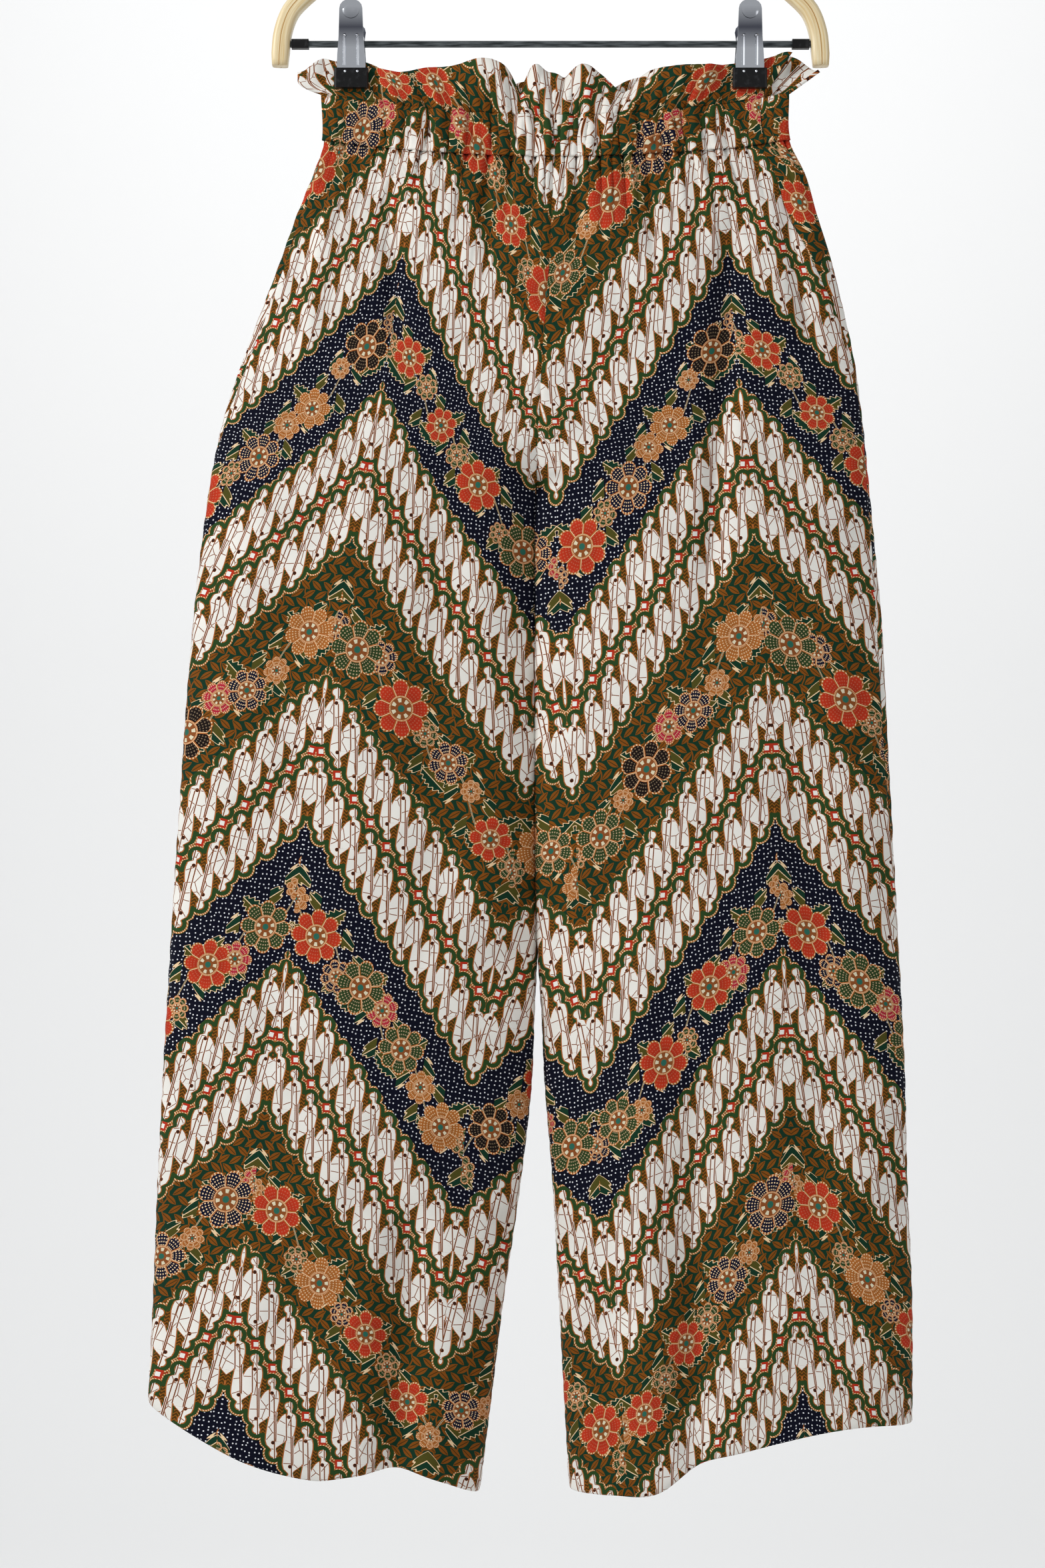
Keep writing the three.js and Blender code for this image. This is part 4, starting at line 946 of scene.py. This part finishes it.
def flower(tree, dx, dy, size, turn, chance, kinds):
    """A round flower about a point: its colour, and 1 where it covers the ground. Lobes make the
    rim, and a beaded line follows the rim, the gaps between petals and the seed disc."""
    place = node_of(tree, "ShaderNodeCombineXYZ", {0: dx, 1: dy}).outputs[0]
    far = Sum(tree, node_of(tree, "ShaderNodeVectorMath", {0: place}, operation="LENGTH").outputs[1])
    angle = dy.math("ARCTAN2", dx) + turn
    lobe = abs((angle * (PETALS / 2)).math("COSINE"))
    rim = size * (lobe.math("POWER", 0.6) * 0.3 + 0.7)
    share = far / size
    petals = node_of(tree, "ShaderNodeValToRGB", {"Fac": chance})
    ramp = petals.color_ramp
    ramp.interpolation = "CONSTANT"
    for i, (at, code, strength) in enumerate(kinds):
        element = ramp.elements[i] if i < 2 else ramp.elements.new(at)
        element.position = at
        element.color = (*dye(code)[:3], strength)
    tone = node_of(tree, "ShaderNodeVectorMath", {0: petals.outputs["Color"]}, operation="SCALE")
    join(tree, share * 0.5 + 0.6, tone.inputs["Scale"])
    speckle = abs(far.repeat(2.3)).most(abs((angle * 7.0).repeat(1.0)) * 2.2) < 0.5
    colour = paint(tree, tone.outputs[0], DYES["cream"], speckle * Sum(tree, petals.outputs["Alpha"]))
    seeds = (abs((angle * 3.5 + 0.9).math("COSINE")) > 0.74) * share.within(*SEEDS)
    disc = paint(tree, DYES["disc"], DYES["seed"], seeds)
    disc = paint(tree, disc, DYES["teal"], share < EYE)
    colour = paint(tree, colour, disc, share < DISC)
    edge = abs(far - rim).least(lobe * far * (2 / PETALS) + (share < DISC) * 9)
    edge = edge.least(abs(far - size * DISC))
    beads = abs((angle * (BEADS / math.pi)).repeat(1.0)) * 2.3
    line = paint(tree, DYES["soga"], DYES["cream"], edge.most(beads) < 0.5)
    return paint(tree, colour, line, edge < 0.7), far < (rim + 0.7)


def chance_of(tree, cell, band, half):
    """Three numbers between 0 and 1 that belong to one cell of one band."""
    seed = node_of(tree, "ShaderNodeCombineXYZ", {0: cell, 1: band, 2: half}).outputs[0]
    noise = node_of(tree, "ShaderNodeTexWhiteNoise", {"Vector": seed}, noise_dimensions="3D")
    parts = node_of(tree, "ShaderNodeSeparateColor", {"Color": noise.outputs["Color"]})
    return [Sum(tree, out) for out in parts.outputs]


def leaf_shape(u, v, lean, half_length, half_width):
    """Less than 0 inside a pointed leaf that leans to one side; also the place across it."""
    along, side = u * 0.8 + v * lean * 0.6, v * 0.8 - u * lean * 0.6
    return abs(side) - (along * along).math("MULTIPLY_ADD", -half_width / half_length**2, half_width), side


def flowers(tree, p, c, b, band, half):
    """Colours of a flower band: sprigs or dots, a winding spray, and flowers of two sizes."""
    odd = (band * 0.5).math("FRACT") > 0.25
    # sprigs: rows of pointed leaves that lean left and right by turns
    row = (b / SPRIG_ROW).floor()
    lean = (row * 0.5).math("FRACT").math("MULTIPLY_ADD", 4.0, -1.0)
    leaf, side = leaf_shape((p + row * 4.1).repeat(SPRIG_PITCH), b.repeat(SPRIG_ROW), lean, 5.2, 2.0)
    stem = abs((b * 0.33).math("SINE") * 1.6 + p.repeat(2 * SPRIG_PITCH)) - 0.5
    sprig = paint(tree, DYES["leaf_green"], DYES["ochre"], leaf.least(stem) < 0)
    sprig = paint(tree, sprig, DYES["pocket"], (abs(side) < 0.3) * (leaf < -0.5))
    # dots, one at an uneven place in each square of DOT_PITCH
    dot_place = node_of(tree, "ShaderNodeCombineXYZ", {0: p / DOT_PITCH, 1: b / DOT_PITCH}).outputs[0]
    strewn = node_of(tree, "ShaderNodeTexVoronoi", {"Vector": dot_place, "Scale": 1.0, "Randomness": 0.5},
                     voronoi_dimensions="2D", feature="F1")
    from_dot = Sum(tree, strewn.outputs["Distance"])
    dotted = paint(tree, DYES["navy"], DYES["dot"], from_dot < DOT_RADIUS)
    colour = paint(tree, sprig, dotted, odd)
    # the spray: a stem that winds along the band, with a large leaf outside each bend
    across_band = c - FLOWER_LINE
    bend = (p * (2 * math.pi / FLOWER_PITCH)).math("SINE")
    stem = abs(across_band - bend * SPRAY_SWING)
    turn = ((p * (2 / FLOWER_PITCH)).floor() * 0.5).math("FRACT").math("MULTIPLY_ADD", 4.0, -1.0)
    colour = paint(tree, colour, DYES["cream"], stem < 1.1)
    colour = paint(tree, colour, DYES["leaf_green"], stem < 0.5)
    for far, shift, tip in SPRAY_LEAVES:
        beside = (p + shift * FLOWER_PITCH).repeat(FLOWER_PITCH / 2)
        away = (across_band + beside) * turn * -tip - far
        leaf, side = leaf_shape(beside, away, tip, *LEAF_HALF)
        leaf = leaf + (beside * 1.1 + away * 1.3).math("SINE") * 0.9
        blades = paint(tree, DYES["olive"], DYES["leaf_green"], side > 0)
        colour = paint(tree, colour, blades, leaf < 0)
        outline = (abs(leaf) < 0.35).most((abs(side) < 0.3) * (leaf < 0))
        colour = paint(tree, colour, DYES["cream"], outline)
    for shift, base, spread, reach, kinds in FLOWER_ROWS:
        cell = ((p + across_band * 0.5) / FLOWER_PITCH + (0.5 - shift)).floor()
        kind, drift, growth = chance_of(tree, cell + shift * 31, band, half)
        dx = p - (cell + shift) * FLOWER_PITCH
        dy = across_band + dx + (drift * reach - reach / 2)
        bloom, cover = flower(tree, dx, dy, growth * spread + base, drift * 6.0, kind, kinds)
        colour = paint(tree, colour, bloom, cover)
    return colour


batik, batik_in, batik_out = new_group(
    "batik_print", [("Cloth place", "NodeSocketVector", None)], [("Color", "NodeSocketColor")])
flat = node_of(batik, "ShaderNodeSeparateXYZ", {0: batik_in["Cloth place"]})
width, fall = Sum(batik, flat.outputs[0]) * 1000, Sum(batik, flat.outputs[1]) * 1000
folded = width.math("PINGPONG", PEAK_TO_VALLEY)
in_bands = fall - folded
band_number = ((in_bands + BAND_LEAD) / BAND_PERIOD).floor()
in_band = in_bands - band_number * BAND_PERIOD
band_colour, from_blades, past_blades = chevrons(batik, folded, in_band)
above = in_band < BAND_HEIGHT / 2
flower_colour = flowers(batik, folded, in_band + above * BAND_PERIOD, fall, band_number - above,
                        (width / PEAK_TO_VALLEY).floor())
cracks = node_of(batik, "ShaderNodeTexVoronoi", {"Vector": batik_in["Cloth place"], "Scale": CRACKLE_SCALE},
                 voronoi_dimensions="2D", feature="DISTANCE_TO_EDGE")
crack = (Sum(batik, cracks.outputs["Distance"]) < CRACKLE_EDGE) * (from_blades < -0.8)
band_colour = paint(batik, band_colour, DYES["crackle"], crack)
printed = paint(batik, band_colour, flower_colour, past_blades.most(in_band > BAND_HEIGHT))
join(batik, printed, batik_out["Color"])
print("print group:", len(batik.nodes), "nodes")

# %% [markdown]
# ## Cotton
# The cloth is a plain cotton with a soft hand. A fine weave goes into the bump, the dye varies a
# little in soft clouds, and a low sheen catches light at the edges.

# %% Cotton finish
WEAVE = {"waves": 9000.0, "strength": 0.12, "depth": 0.0002}


def new_finish(name, inputs):
    """A material whose Principled BSDF has these inputs."""
    material = bpy.data.materials.new(name)
    material.use_nodes = True
    shader = material.node_tree.nodes["Principled BSDF"]
    for key, value in inputs.items():
        shader.inputs[key].default_value = value
    return material, material.node_tree, shader


def flat_place(tree):
    """A piece's place on its own flat map, in metres."""
    return node_of(tree, "ShaderNodeUVMap", uv_map="flat").outputs["UV"]


def own_place(tree):
    """A piece's own place in the frame, in metres."""
    return node_of(tree, "ShaderNodeTexCoord").outputs["Object"]


def add_bump(tree, shader, height, strength, depth):
    """Joins a shader's normal to a bump of some height, with its full depth in metres."""
    bump = node_of(tree, "ShaderNodeBump", {"Height": height, "Strength": strength, "Distance": depth})
    join(tree, bump.outputs["Normal"], shader.inputs["Normal"])


cotton, tree, shader = new_finish(
    "batik_cotton", {"Roughness": 0.82, "Sheen Weight": 0.02, "Specular IOR Level": 0.08})
place = flat_place(tree)
print_node = node_of(tree, "ShaderNodeGroup", node_tree=batik)
join(tree, place, print_node.inputs["Cloth place"])
cloudy = node_of(tree, "ShaderNodeTexNoise", {"Vector": place, "Scale": 26.0, "Detail": 2.0},
                 noise_dimensions="2D")
fade = Sum(tree, cloudy.outputs[0]).math("MULTIPLY_ADD", 0.3, 0.85)
toned = node_of(tree, "ShaderNodeVectorMath", {0: print_node.outputs["Color"]}, operation="SCALE")
join(tree, fade, toned.inputs["Scale"])
join(tree, toned.outputs["Vector"], shader.inputs["Base Color"])
weave_place = node_of(tree, "ShaderNodeSeparateXYZ", {0: place})
warp, weft = [(Sum(tree, weave_place.outputs[k]) * WEAVE["waves"]).math("SINE") for k in (0, 1)]
add_bump(tree, shader, warp * weft, WEAVE["strength"], WEAVE["depth"])
for piece in [*leg_pieces.values(), *waist_pieces.values()]:
    piece.data.materials.append(cotton)

# %% [markdown]
# ## Stitches
# Cream thread shows in two rows along the casing and in one row above each hem. A stitch is a
# short round bar that dips into the cloth at both ends. The rows follow the cloth's own grid, so
# they ride its puckers.

# %% Stitches
STITCH = {"length": 2.3, "gap": 0.9, "radius": 0.24, "proud": 0.12, "sunk": -0.3}


def stitch_row(grid, row, outward):
    """Bars along one row of a grid, each a five-sided tube in four rings that dips at its ends."""
    line, normal = grid["points"][row], outer_normals(grid["points"], outward)[row]
    length = length_along(line)
    start = np.arange(1.0, length[-1] - STITCH["length"], STITCH["length"] + STITCH["gap"])
    share = np.array([0.0, 0.2, 0.8, 1.0])
    sink = np.array([STITCH[part] for part in ("sunk", "proud", "proud", "sunk")])
    at = start[:, None] + share * STITCH["length"]
    centre, up = [np.stack([np.interp(at, length, rows[:, k]) for k in range(3)], axis=-1)
                  for rows in (line, normal)]
    up = unit(up)
    side = np.cross(unit(centre[:, -1:] - centre[:, :1]), up)
    angle = np.linspace(0, 2 * np.pi, 6)[:-1]
    ring = up[:, :, None] * np.cos(angle)[:, None] + side[:, :, None] * np.sin(angle)[:, None]
    return (centre + up * sink[:, None])[:, :, None] + ring * STITCH["radius"]


def stitches(name, rows):
    """One object of all the stitches in some rows; ring joined to ring, and both ends closed."""
    bars = np.concatenate(rows)
    count, rings, sides = bars.shape[:3]
    ids = np.arange(bars[..., 0].size).reshape(count, rings, sides)
    ahead = np.roll(ids, -1, axis=2)
    walls = np.stack([ids[:, :-1], ids[:, 1:], ahead[:, 1:], ahead[:, :-1]], axis=-1).reshape(-1, 4)
    ends = np.concatenate([ids[:, 0], ids[:, -1, ::-1]])
    mesh = bpy.data.meshes.new(name)
    mesh.from_pydata((bars.reshape(-1, 3) * MM).tolist(), [], walls.tolist() + ends.tolist())
    piece = linked_object(name, mesh)
    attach(piece, "root")
    print(name, count, "stitches")
    return piece


HEM_STITCH_ROW = LEG_ROWS - 5
stitch_pieces = []
for face, turn in (("front", -1), ("back", 1)):
    outward = np.array([0, turn, 0])
    rows = [stitch_row(casing_grid(side, face), row, outward)
            for side in ("right", "left") for row in (2, CASING_ROWS - 3)]
    stitch_pieces.append(stitches(f"waist_{face}_stitches", rows))
    for side in ("right", "left"):
        panel = leg_grid(side, face)
        panel["points"] = panel["points"][:LEG_ROWS]
        row = stitch_row(panel, HEM_STITCH_ROW, outward)
        stitch_pieces.append(stitches(f"{side}_hem_{face}_stitches", [row]))

thread, tree, shader = new_finish("cream_thread", {"Roughness": 0.7})
ply = node_of(tree, "ShaderNodeTexWave", {"Vector": own_place(tree), "Scale": 1500.0})
join(tree, paint(tree, dye("C9AE84"), dye("E9D6B2"), ply.outputs["Fac"]), shader.inputs["Base Color"])
for piece in stitch_pieces:
    piece.data.materials.append(thread)

# %% [markdown]
# ## Sheets
# The legs are cut a little wider at the hem than at the waist, and the waist pieces as wide as
# the waist stretches.

# %% [markdown]
# ## Hanger bow
# The bow is bent from two plies of pale wood, so its section keeps its size all along and a glue
# line runs down its middle. A section carried along a path is the plain way to make it.

# %% Sections carried along paths


def path_through(points, count):
    """A smooth path in the XZ plane through a few points, by the length between them."""
    points = np.asarray(points, float)
    length = length_along(points)
    at = np.linspace(0, length[-1], count)
    return np.stack([curve_through(length, points[:, k], at) for k in (0, 1)], axis=-1)


def rounded_section(wide, deep, edge, steps=5):
    """A rectangle with round corners, as a loop of (in-plane, deep) offsets."""
    angle = np.linspace(0, np.pi / 2, steps + 1)
    corner = np.stack([np.cos(angle), np.sin(angle)], axis=-1) * edge
    corner = corner + [wide / 2 - edge, deep / 2 - edge]
    turned = np.stack([-corner[::-1, 0], corner[::-1, 1]], axis=-1)
    half = np.concatenate([corner, turned])
    return np.concatenate([half, -half])


def swept_grids(path, loop, scale=None):
    """Carries a loop along a path and closes both ends with shrinking rings."""
    tangent = unit(np.gradient(path, axis=0))
    scale = np.ones(len(path)) if scale is None else scale
    in_plane, deep = [loop[None, :, k] * scale[:, None] for k in (0, 1)]
    x = path[:, :1] - tangent[:, 1:] * in_plane
    z = path[:, 1:] + tangent[:, :1] * in_plane
    points = np.stack([x, deep, z], axis=-1)
    ends = [mix(ring, ring.mean(axis=1, keepdims=True), 0.999) for ring in (points[:1], points[-1:])]
    points = np.concatenate([ends[0], points, ends[1]])
    length = length_along(path)
    length = np.concatenate([length[:1], length, length[-1:]])
    uv = np.stack(np.broadcast_arrays(loop[None, :, 0], length[:, None]), axis=-1)
    centre = points.mean(axis=1, keepdims=True)
    flip = not facing(points[1:-1], (points - centre)[1:-1])
    return {"points": points, "uv": uv, "flip": flip, "closed": True}


# %% Hanger bow, hook and bar
BAR_LEVEL = -170.0
BAR = {"height": 4.2, "thickness": 3.4, "half_length": 187.0}
HOOK = {"wire": 3.6, "bend": 21.8, "foot": -90.2}
BOW = {"wide": 12.4, "deep": 13.0, "edge": 3.4}
BOW_STEPS, HOOK_STEPS, BAR_STEPS = 120, 140, 60
bow_half = [(188.6, -185.2), (188.2, -176), (186.6, -162), (181.5, -148), (173.4, -138.6),
            (160, -128), (140, -119), (115, -111.5), (85, -103.5), (50, -94.5), (20, -89.2)]
bow_points = [(-x, z) for x, z in bow_half] + [(0, -88)] + bow_half[::-1]
bow_path = path_through(bow_points, BOW_STEPS)
from_start = np.arange(BOW_STEPS)
bow_ends = 1 - 0.12 * (bell(from_start, 1.2) + bell(from_start[::-1], 1.2))
bow_loop = rounded_section(BOW["wide"], BOW["deep"], BOW["edge"])
bow = mesh_piece("hanger_bow_wood", [swept_grids(bow_path, bow_loop, bow_ends)])
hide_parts("hanger_bow")

angles = np.radians(np.arange(-46, 197, 22))
hook_middle = HOOK["wire"] / 2 - HOOK["bend"]
hook_points = [(0, HOOK["foot"]), (0, -74), (0, -62), (1.5, -52), (8, -43.5)]
hook_points += [(HOOK["bend"] * np.cos(a), hook_middle + HOOK["bend"] * np.sin(a)) for a in angles]
turn_angle = np.linspace(0, 2 * np.pi, 17)[:-1]
wire_loop = HOOK["wire"] / 2 * np.stack([np.cos(turn_angle), np.sin(turn_angle)], axis=-1)
hook_path = path_through(hook_points, HOOK_STEPS)
hook_tip = 1 - 0.55 * bell(np.arange(HOOK_STEPS)[::-1], 1.4)
hook = mesh_piece("hanger_hook_wire", [swept_grids(hook_path, wire_loop, hook_tip)])
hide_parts("hanger_hook")

bar_x = np.linspace(-BAR["half_length"], BAR["half_length"], BAR_STEPS)
bar_path = np.stack([bar_x, np.full(BAR_STEPS, BAR_LEVEL)], axis=-1)
bar_loop = rounded_section(BAR["height"], BAR["thickness"], 0.5, 3)
bar = mesh_piece("hanger_bar_steel", [swept_grids(bar_path, bar_loop)])
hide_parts("hanger_bar")
print("bow, hook and bar made")

# %% [markdown]
# ## Clips
# The clips, jaws, springs and sleeves have their true shapes in the frame, so those solids stay
# and get finishes. What the press leaves on a plate is added: a round dimple for the thumb at the
# top, and small studs that hold the ribs and the jaws.

# %% Pressed dimples and studs
THUMB = {"level": -148.6, "radius": 5.7, "rise": 1.15, "dish": 0.9}
STUDS = {"x": 4.3, "radius": 1.15, "rise": 0.75, "plate_level": -165.8, "jaw_level": -190.4}
CAP_RINGS, CAP_SIDES = 12, 32


def round_cap(centre, radius, rise, lean=0.0, dished=0.0):
    """A low dome that faces -Y: rise * cos of the share from middle to rim, less a dish in its
    middle, turned back by the plate's lean."""
    out = np.linspace(0.002, 1, CAP_RINGS)[:, None]
    angle = np.linspace(0, 2 * np.pi, CAP_SIDES + 1)[None, :-1]
    height = rise * np.cos(out * np.pi / 2) - dished * bell(out, 0.45) + 0 * angle
    x, up = radius * out * np.cos(angle), radius * out * np.sin(angle)
    y = -height * math.cos(lean) - up * math.sin(lean)
    z = up * math.cos(lean) - height * math.sin(lean)
    points = np.stack([x + centre[0], y + centre[1], z + centre[2]], axis=-1)
    uv = np.stack([x, up], axis=-1)
    return {"points": points, "uv": uv, "flip": not facing(points, np.array([0, -1, 0])), "closed": True}


clip_details = []
for side, sign in (("right", -1), ("left", 1)):
    plate_low, plate_high = np.array(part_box(f"{side}_clip_front_plate")) / MM
    jaw_low, jaw_high = np.array(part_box(f"{side}_clip_front_jaw")) / MM
    foot_y, head_y = jaw_low[1] + 0.7, plate_low[1]
    slant = (head_y - foot_y) / (plate_high[2] - jaw_high[2])
    lean = math.atan(slant)

    def plate_y(level):
        """The plate's front face at a level, on the line from the jaw to its head."""
        return foot_y + slant * (level - jaw_high[2])

    middle = sign * CLIP_X
    thumb = (middle, plate_y(THUMB["level"]), THUMB["level"])
    caps = [round_cap(thumb, THUMB["radius"], THUMB["rise"], lean, THUMB["dish"])]
    for x in (middle - STUDS["x"], middle + STUDS["x"]):
        level = STUDS["plate_level"]
        caps.append(round_cap((x, plate_y(level) - 0.9, level), STUDS["radius"], STUDS["rise"], lean))
        caps.append(round_cap((x, jaw_low[1] + 0.05, STUDS["jaw_level"]), STUDS["radius"] * 0.8, 0.5))
    detail = mesh_piece(f"{side}_clip_dimple_and_studs", caps)
    clip_details.append(detail)
    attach(detail, "root")
    print(detail.name, "on a plate that leans", round(math.degrees(lean), 1), "degrees")

# %% [markdown]
# ## Hanger finishes
# Wood shows grain along the bow and a glue line down its middle. The plates are pressed from
# chromed sheet, with faint drawn lines and rub marks. Their colour holds a painted reflection: dark
# in a band across the plates' middle and light above and below it. The bar is dull steel with long
# streaks, and sleeves and jaws are moulded black rubber with a dusty bloom.

# %% Rub and grain groups
streaks, streaks_in, streaks_out = new_group(
    "long_streaks", [("Place", "NodeSocketVector", None), ("Fine", "NodeSocketFloat", 1.0)],
    [("Streak", "NodeSocketFloat"), ("Cloud", "NodeSocketFloat")])
long_noise = node_of(streaks, "ShaderNodeTexNoise", {"Vector": streaks_in["Place"], "Detail": 4.0})
join(streaks, streaks_in["Fine"], long_noise.inputs["Scale"])
cloud_noise = node_of(streaks, "ShaderNodeTexNoise",
                      {"Vector": streaks_in["Place"], "Scale": 3.0, "Detail": 2.0})
join(streaks, long_noise.outputs[0], streaks_out["Streak"])
join(streaks, cloud_noise.outputs[0], streaks_out["Cloud"])


def streaked(tree, place, stretch, fine):
    """The streak group on a place that is squeezed across the streaks."""
    squeezed = node_of(tree, "ShaderNodeMapping", {"Vector": place, "Scale": stretch})
    return node_of(tree, "ShaderNodeGroup", {"Place": squeezed.outputs[0], "Fine": fine},
                   node_tree=streaks).outputs


def blend(tree, first, second, mask):
    """A colour between two, by a sum that runs from 0 to 1."""
    return paint(tree, first, second, mask.most(0.0).least(1.0))


# %% Wood
wood, tree, shader = new_finish(
    "pale_laminated_wood", {"Roughness": 0.42, "Coat Weight": 0.25, "Coat Roughness": 0.25})
bow_place = flat_place(tree)
grain = streaked(tree, bow_place, (1.0, 0.035, 1.0), 900.0)
tint = Sum(tree, grain[0]).math("MULTIPLY_ADD", 2.4, -0.75)
wood_colour = blend(tree, dye("F3E4BE"), dye("D9B97C"), tint)
bow_across = node_of(tree, "ShaderNodeSeparateXYZ", {0: bow_place})
glue = abs(Sum(tree, bow_across.outputs[0]) - 0.0004) < 0.00035
wood_colour = paint(tree, wood_colour, dye("B98D4C"), glue)
join(tree, wood_colour, shader.inputs["Base Color"])
add_bump(tree, shader, grain[0], 0.25, 0.0004)
bow.data.materials.append(wood)

# %% Metals
# painted reflection on the chrome: its colour is dark in a band round 160 mm below the origin, across the
# plates' middle, and turns light within about 14 mm above and below it
PAINTED_REFLECTION_BAND = {"middle": 0.16, "fade": 0.014}
chrome, tree, shader = new_finish("rubbed_chrome_painted_reflection", {"Metallic": 1.0})
place = own_place(tree)
rub = streaked(tree, place, (1.0, 1.0, 0.12), 420.0)
level = Sum(tree, node_of(tree, "ShaderNodeSeparateXYZ", {0: place}).outputs[2])
# the painted reflection: dark in the band and light away from it, shifted a little by the rub clouds
tone = abs(level + PAINTED_REFLECTION_BAND["middle"]) / PAINTED_REFLECTION_BAND["fade"] + Sum(tree, rub[1]) - 0.5
painted_reflection_colour = blend(tree, dye("696B76"), dye("E2E5EA"), tone)
join(tree, painted_reflection_colour, shader.inputs["Base Color"])
join(tree, Sum(tree, rub[1]).math("MULTIPLY_ADD", 0.22, 0.06), shader.inputs["Roughness"])
add_bump(tree, shader, rub[0], 0.08, 0.0004)

steel, tree, shader = new_finish("dull_bar_steel", {"Metallic": 1.0})
rub = streaked(tree, own_place(tree), (0.1, 1.0, 1.0), 700.0)
steel_colour = blend(tree, dye("3C4142"), dye("7E8486"), Sum(tree, rub[0]).math("MULTIPLY_ADD", 3.0, -1.1))
join(tree, steel_colour, shader.inputs["Base Color"])
join(tree, Sum(tree, rub[1]).math("MULTIPLY_ADD", 0.3, 0.25), shader.inputs["Roughness"])
add_bump(tree, shader, rub[0], 0.15, 0.0003)

# %% Rubber
rubber, tree, shader = new_finish("moulded_black_rubber", {"Specular IOR Level": 0.3})
place = own_place(tree)
dust = node_of(tree, "ShaderNodeTexNoise", {"Vector": place, "Scale": 260.0, "Detail": 5.0})
bloom = Sum(tree, dust.outputs[0]).math("MULTIPLY_ADD", 5.0, -2.7)
join(tree, blend(tree, dye("0A0A0B"), dye("2B2C2E"), bloom), shader.inputs["Base Color"])
join(tree, Sum(tree, dust.outputs[0]).math("MULTIPLY_ADD", 0.4, 0.2), shader.inputs["Roughness"])
pebble = node_of(tree, "ShaderNodeTexNoise", {"Vector": place, "Scale": 2200.0, "Detail": 1.0})
add_bump(tree, shader, pebble.outputs[0], 0.3, 0.0001)

# %% Finishes on the pieces
hook.data.materials.append(chrome)
bar.data.materials.append(steel)
for detail in clip_details:
    detail.data.materials.append(chrome)
node_finish = {"plate": chrome, "spring": steel, "jaw": rubber, "sleeve": rubber}
finished = 0
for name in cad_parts:
    kind = name.rsplit("_", 1)[-1]
    if kind in node_finish:
        for slot in bpy.data.objects[name].material_slots:
            slot.material = node_finish[kind]
            finished += 1
print("finishes on", finished, "frame slots")

# %% [markdown]
# ## Stage and light
# The garment hangs in soft even light before a pale room. The floor is two metres down, and a
# wide curve joins it to a far wall, so nothing behind the garment has an edge in the front view.

# %% Stage and light
ROOM = {"floor": -2.0, "top": 4.0, "near": -6.0, "wall": 4.6, "bend": 1.6, "half_width": 7.0}
turn_down = np.linspace(0, np.pi / 2, 16)
room_y = ROOM["wall"] - ROOM["bend"] * (1 - np.sin(turn_down))
room_z = ROOM["floor"] + ROOM["bend"] * (1 - np.cos(turn_down))
room_y = np.concatenate([[ROOM["near"]], room_y, [ROOM["wall"]]])[:, None]
room_z = np.concatenate([[ROOM["floor"]], room_z, [ROOM["top"]]])[:, None]
room_x = np.linspace(-ROOM["half_width"], ROOM["half_width"], 3)[None, :]
room_points = np.stack(np.broadcast_arrays(room_x, room_y, room_z), axis=-1)
room_faces = grid_faces(*room_points.shape[:2], flip=True)
room_mesh = bpy.data.meshes.new("pale_room")
room_mesh.from_pydata(room_points.reshape(-1, 3).tolist(), [], room_faces.tolist())
room = linked_object("pale_room", room_mesh)
room_paint = new_finish("pale_room_paint", {"Base Color": (0.86, 0.86, 0.855, 1), "Roughness": 0.9})
room_mesh.materials.append(room_paint[0])

bpy.context.scene.view_settings.view_transform = "Standard"
world = bpy.data.worlds.new("soft_room_light")
bpy.context.scene.world = world
world.use_nodes = True
sky = world.node_tree.nodes["Background"].inputs
sky["Color"].default_value = (0.95, 0.97, 1.0, 1)
sky["Strength"].default_value = 0.42


def soft_light(name, place, target, size, watts):
    """A square area light that faces a point."""
    data = bpy.data.lights.new(name, "AREA")
    data.shape, data.size, data.energy = "SQUARE", size, watts
    light = bpy.data.objects.new(name, data)
    way = np.array(target, float) - np.array(place, float)
    light.location = place
    light.rotation_euler = (math.atan2(math.hypot(way[0], way[1]), -way[2]), 0.0,
                            math.atan2(-way[0], way[1]))
    light.visible_camera = False
    bpy.context.scene.collection.objects.link(light)


# name, place, what it faces, size, watts
LIGHTS = [
    ("key_light", (-2.35, -1.6, 0.8), (0, 0, -0.65), 1.1, 62),
    ("fill_light", (2.3, -1.9, -0.2), (0, 0, -0.7), 2.0, 13),
    ("wall_light", (0, 1.4, 1.9), (0, 4.6, 0.6), 3.0, 88),
]
for light in LIGHTS:
    soft_light(*light)
print("room and", len(LIGHTS), "lights")
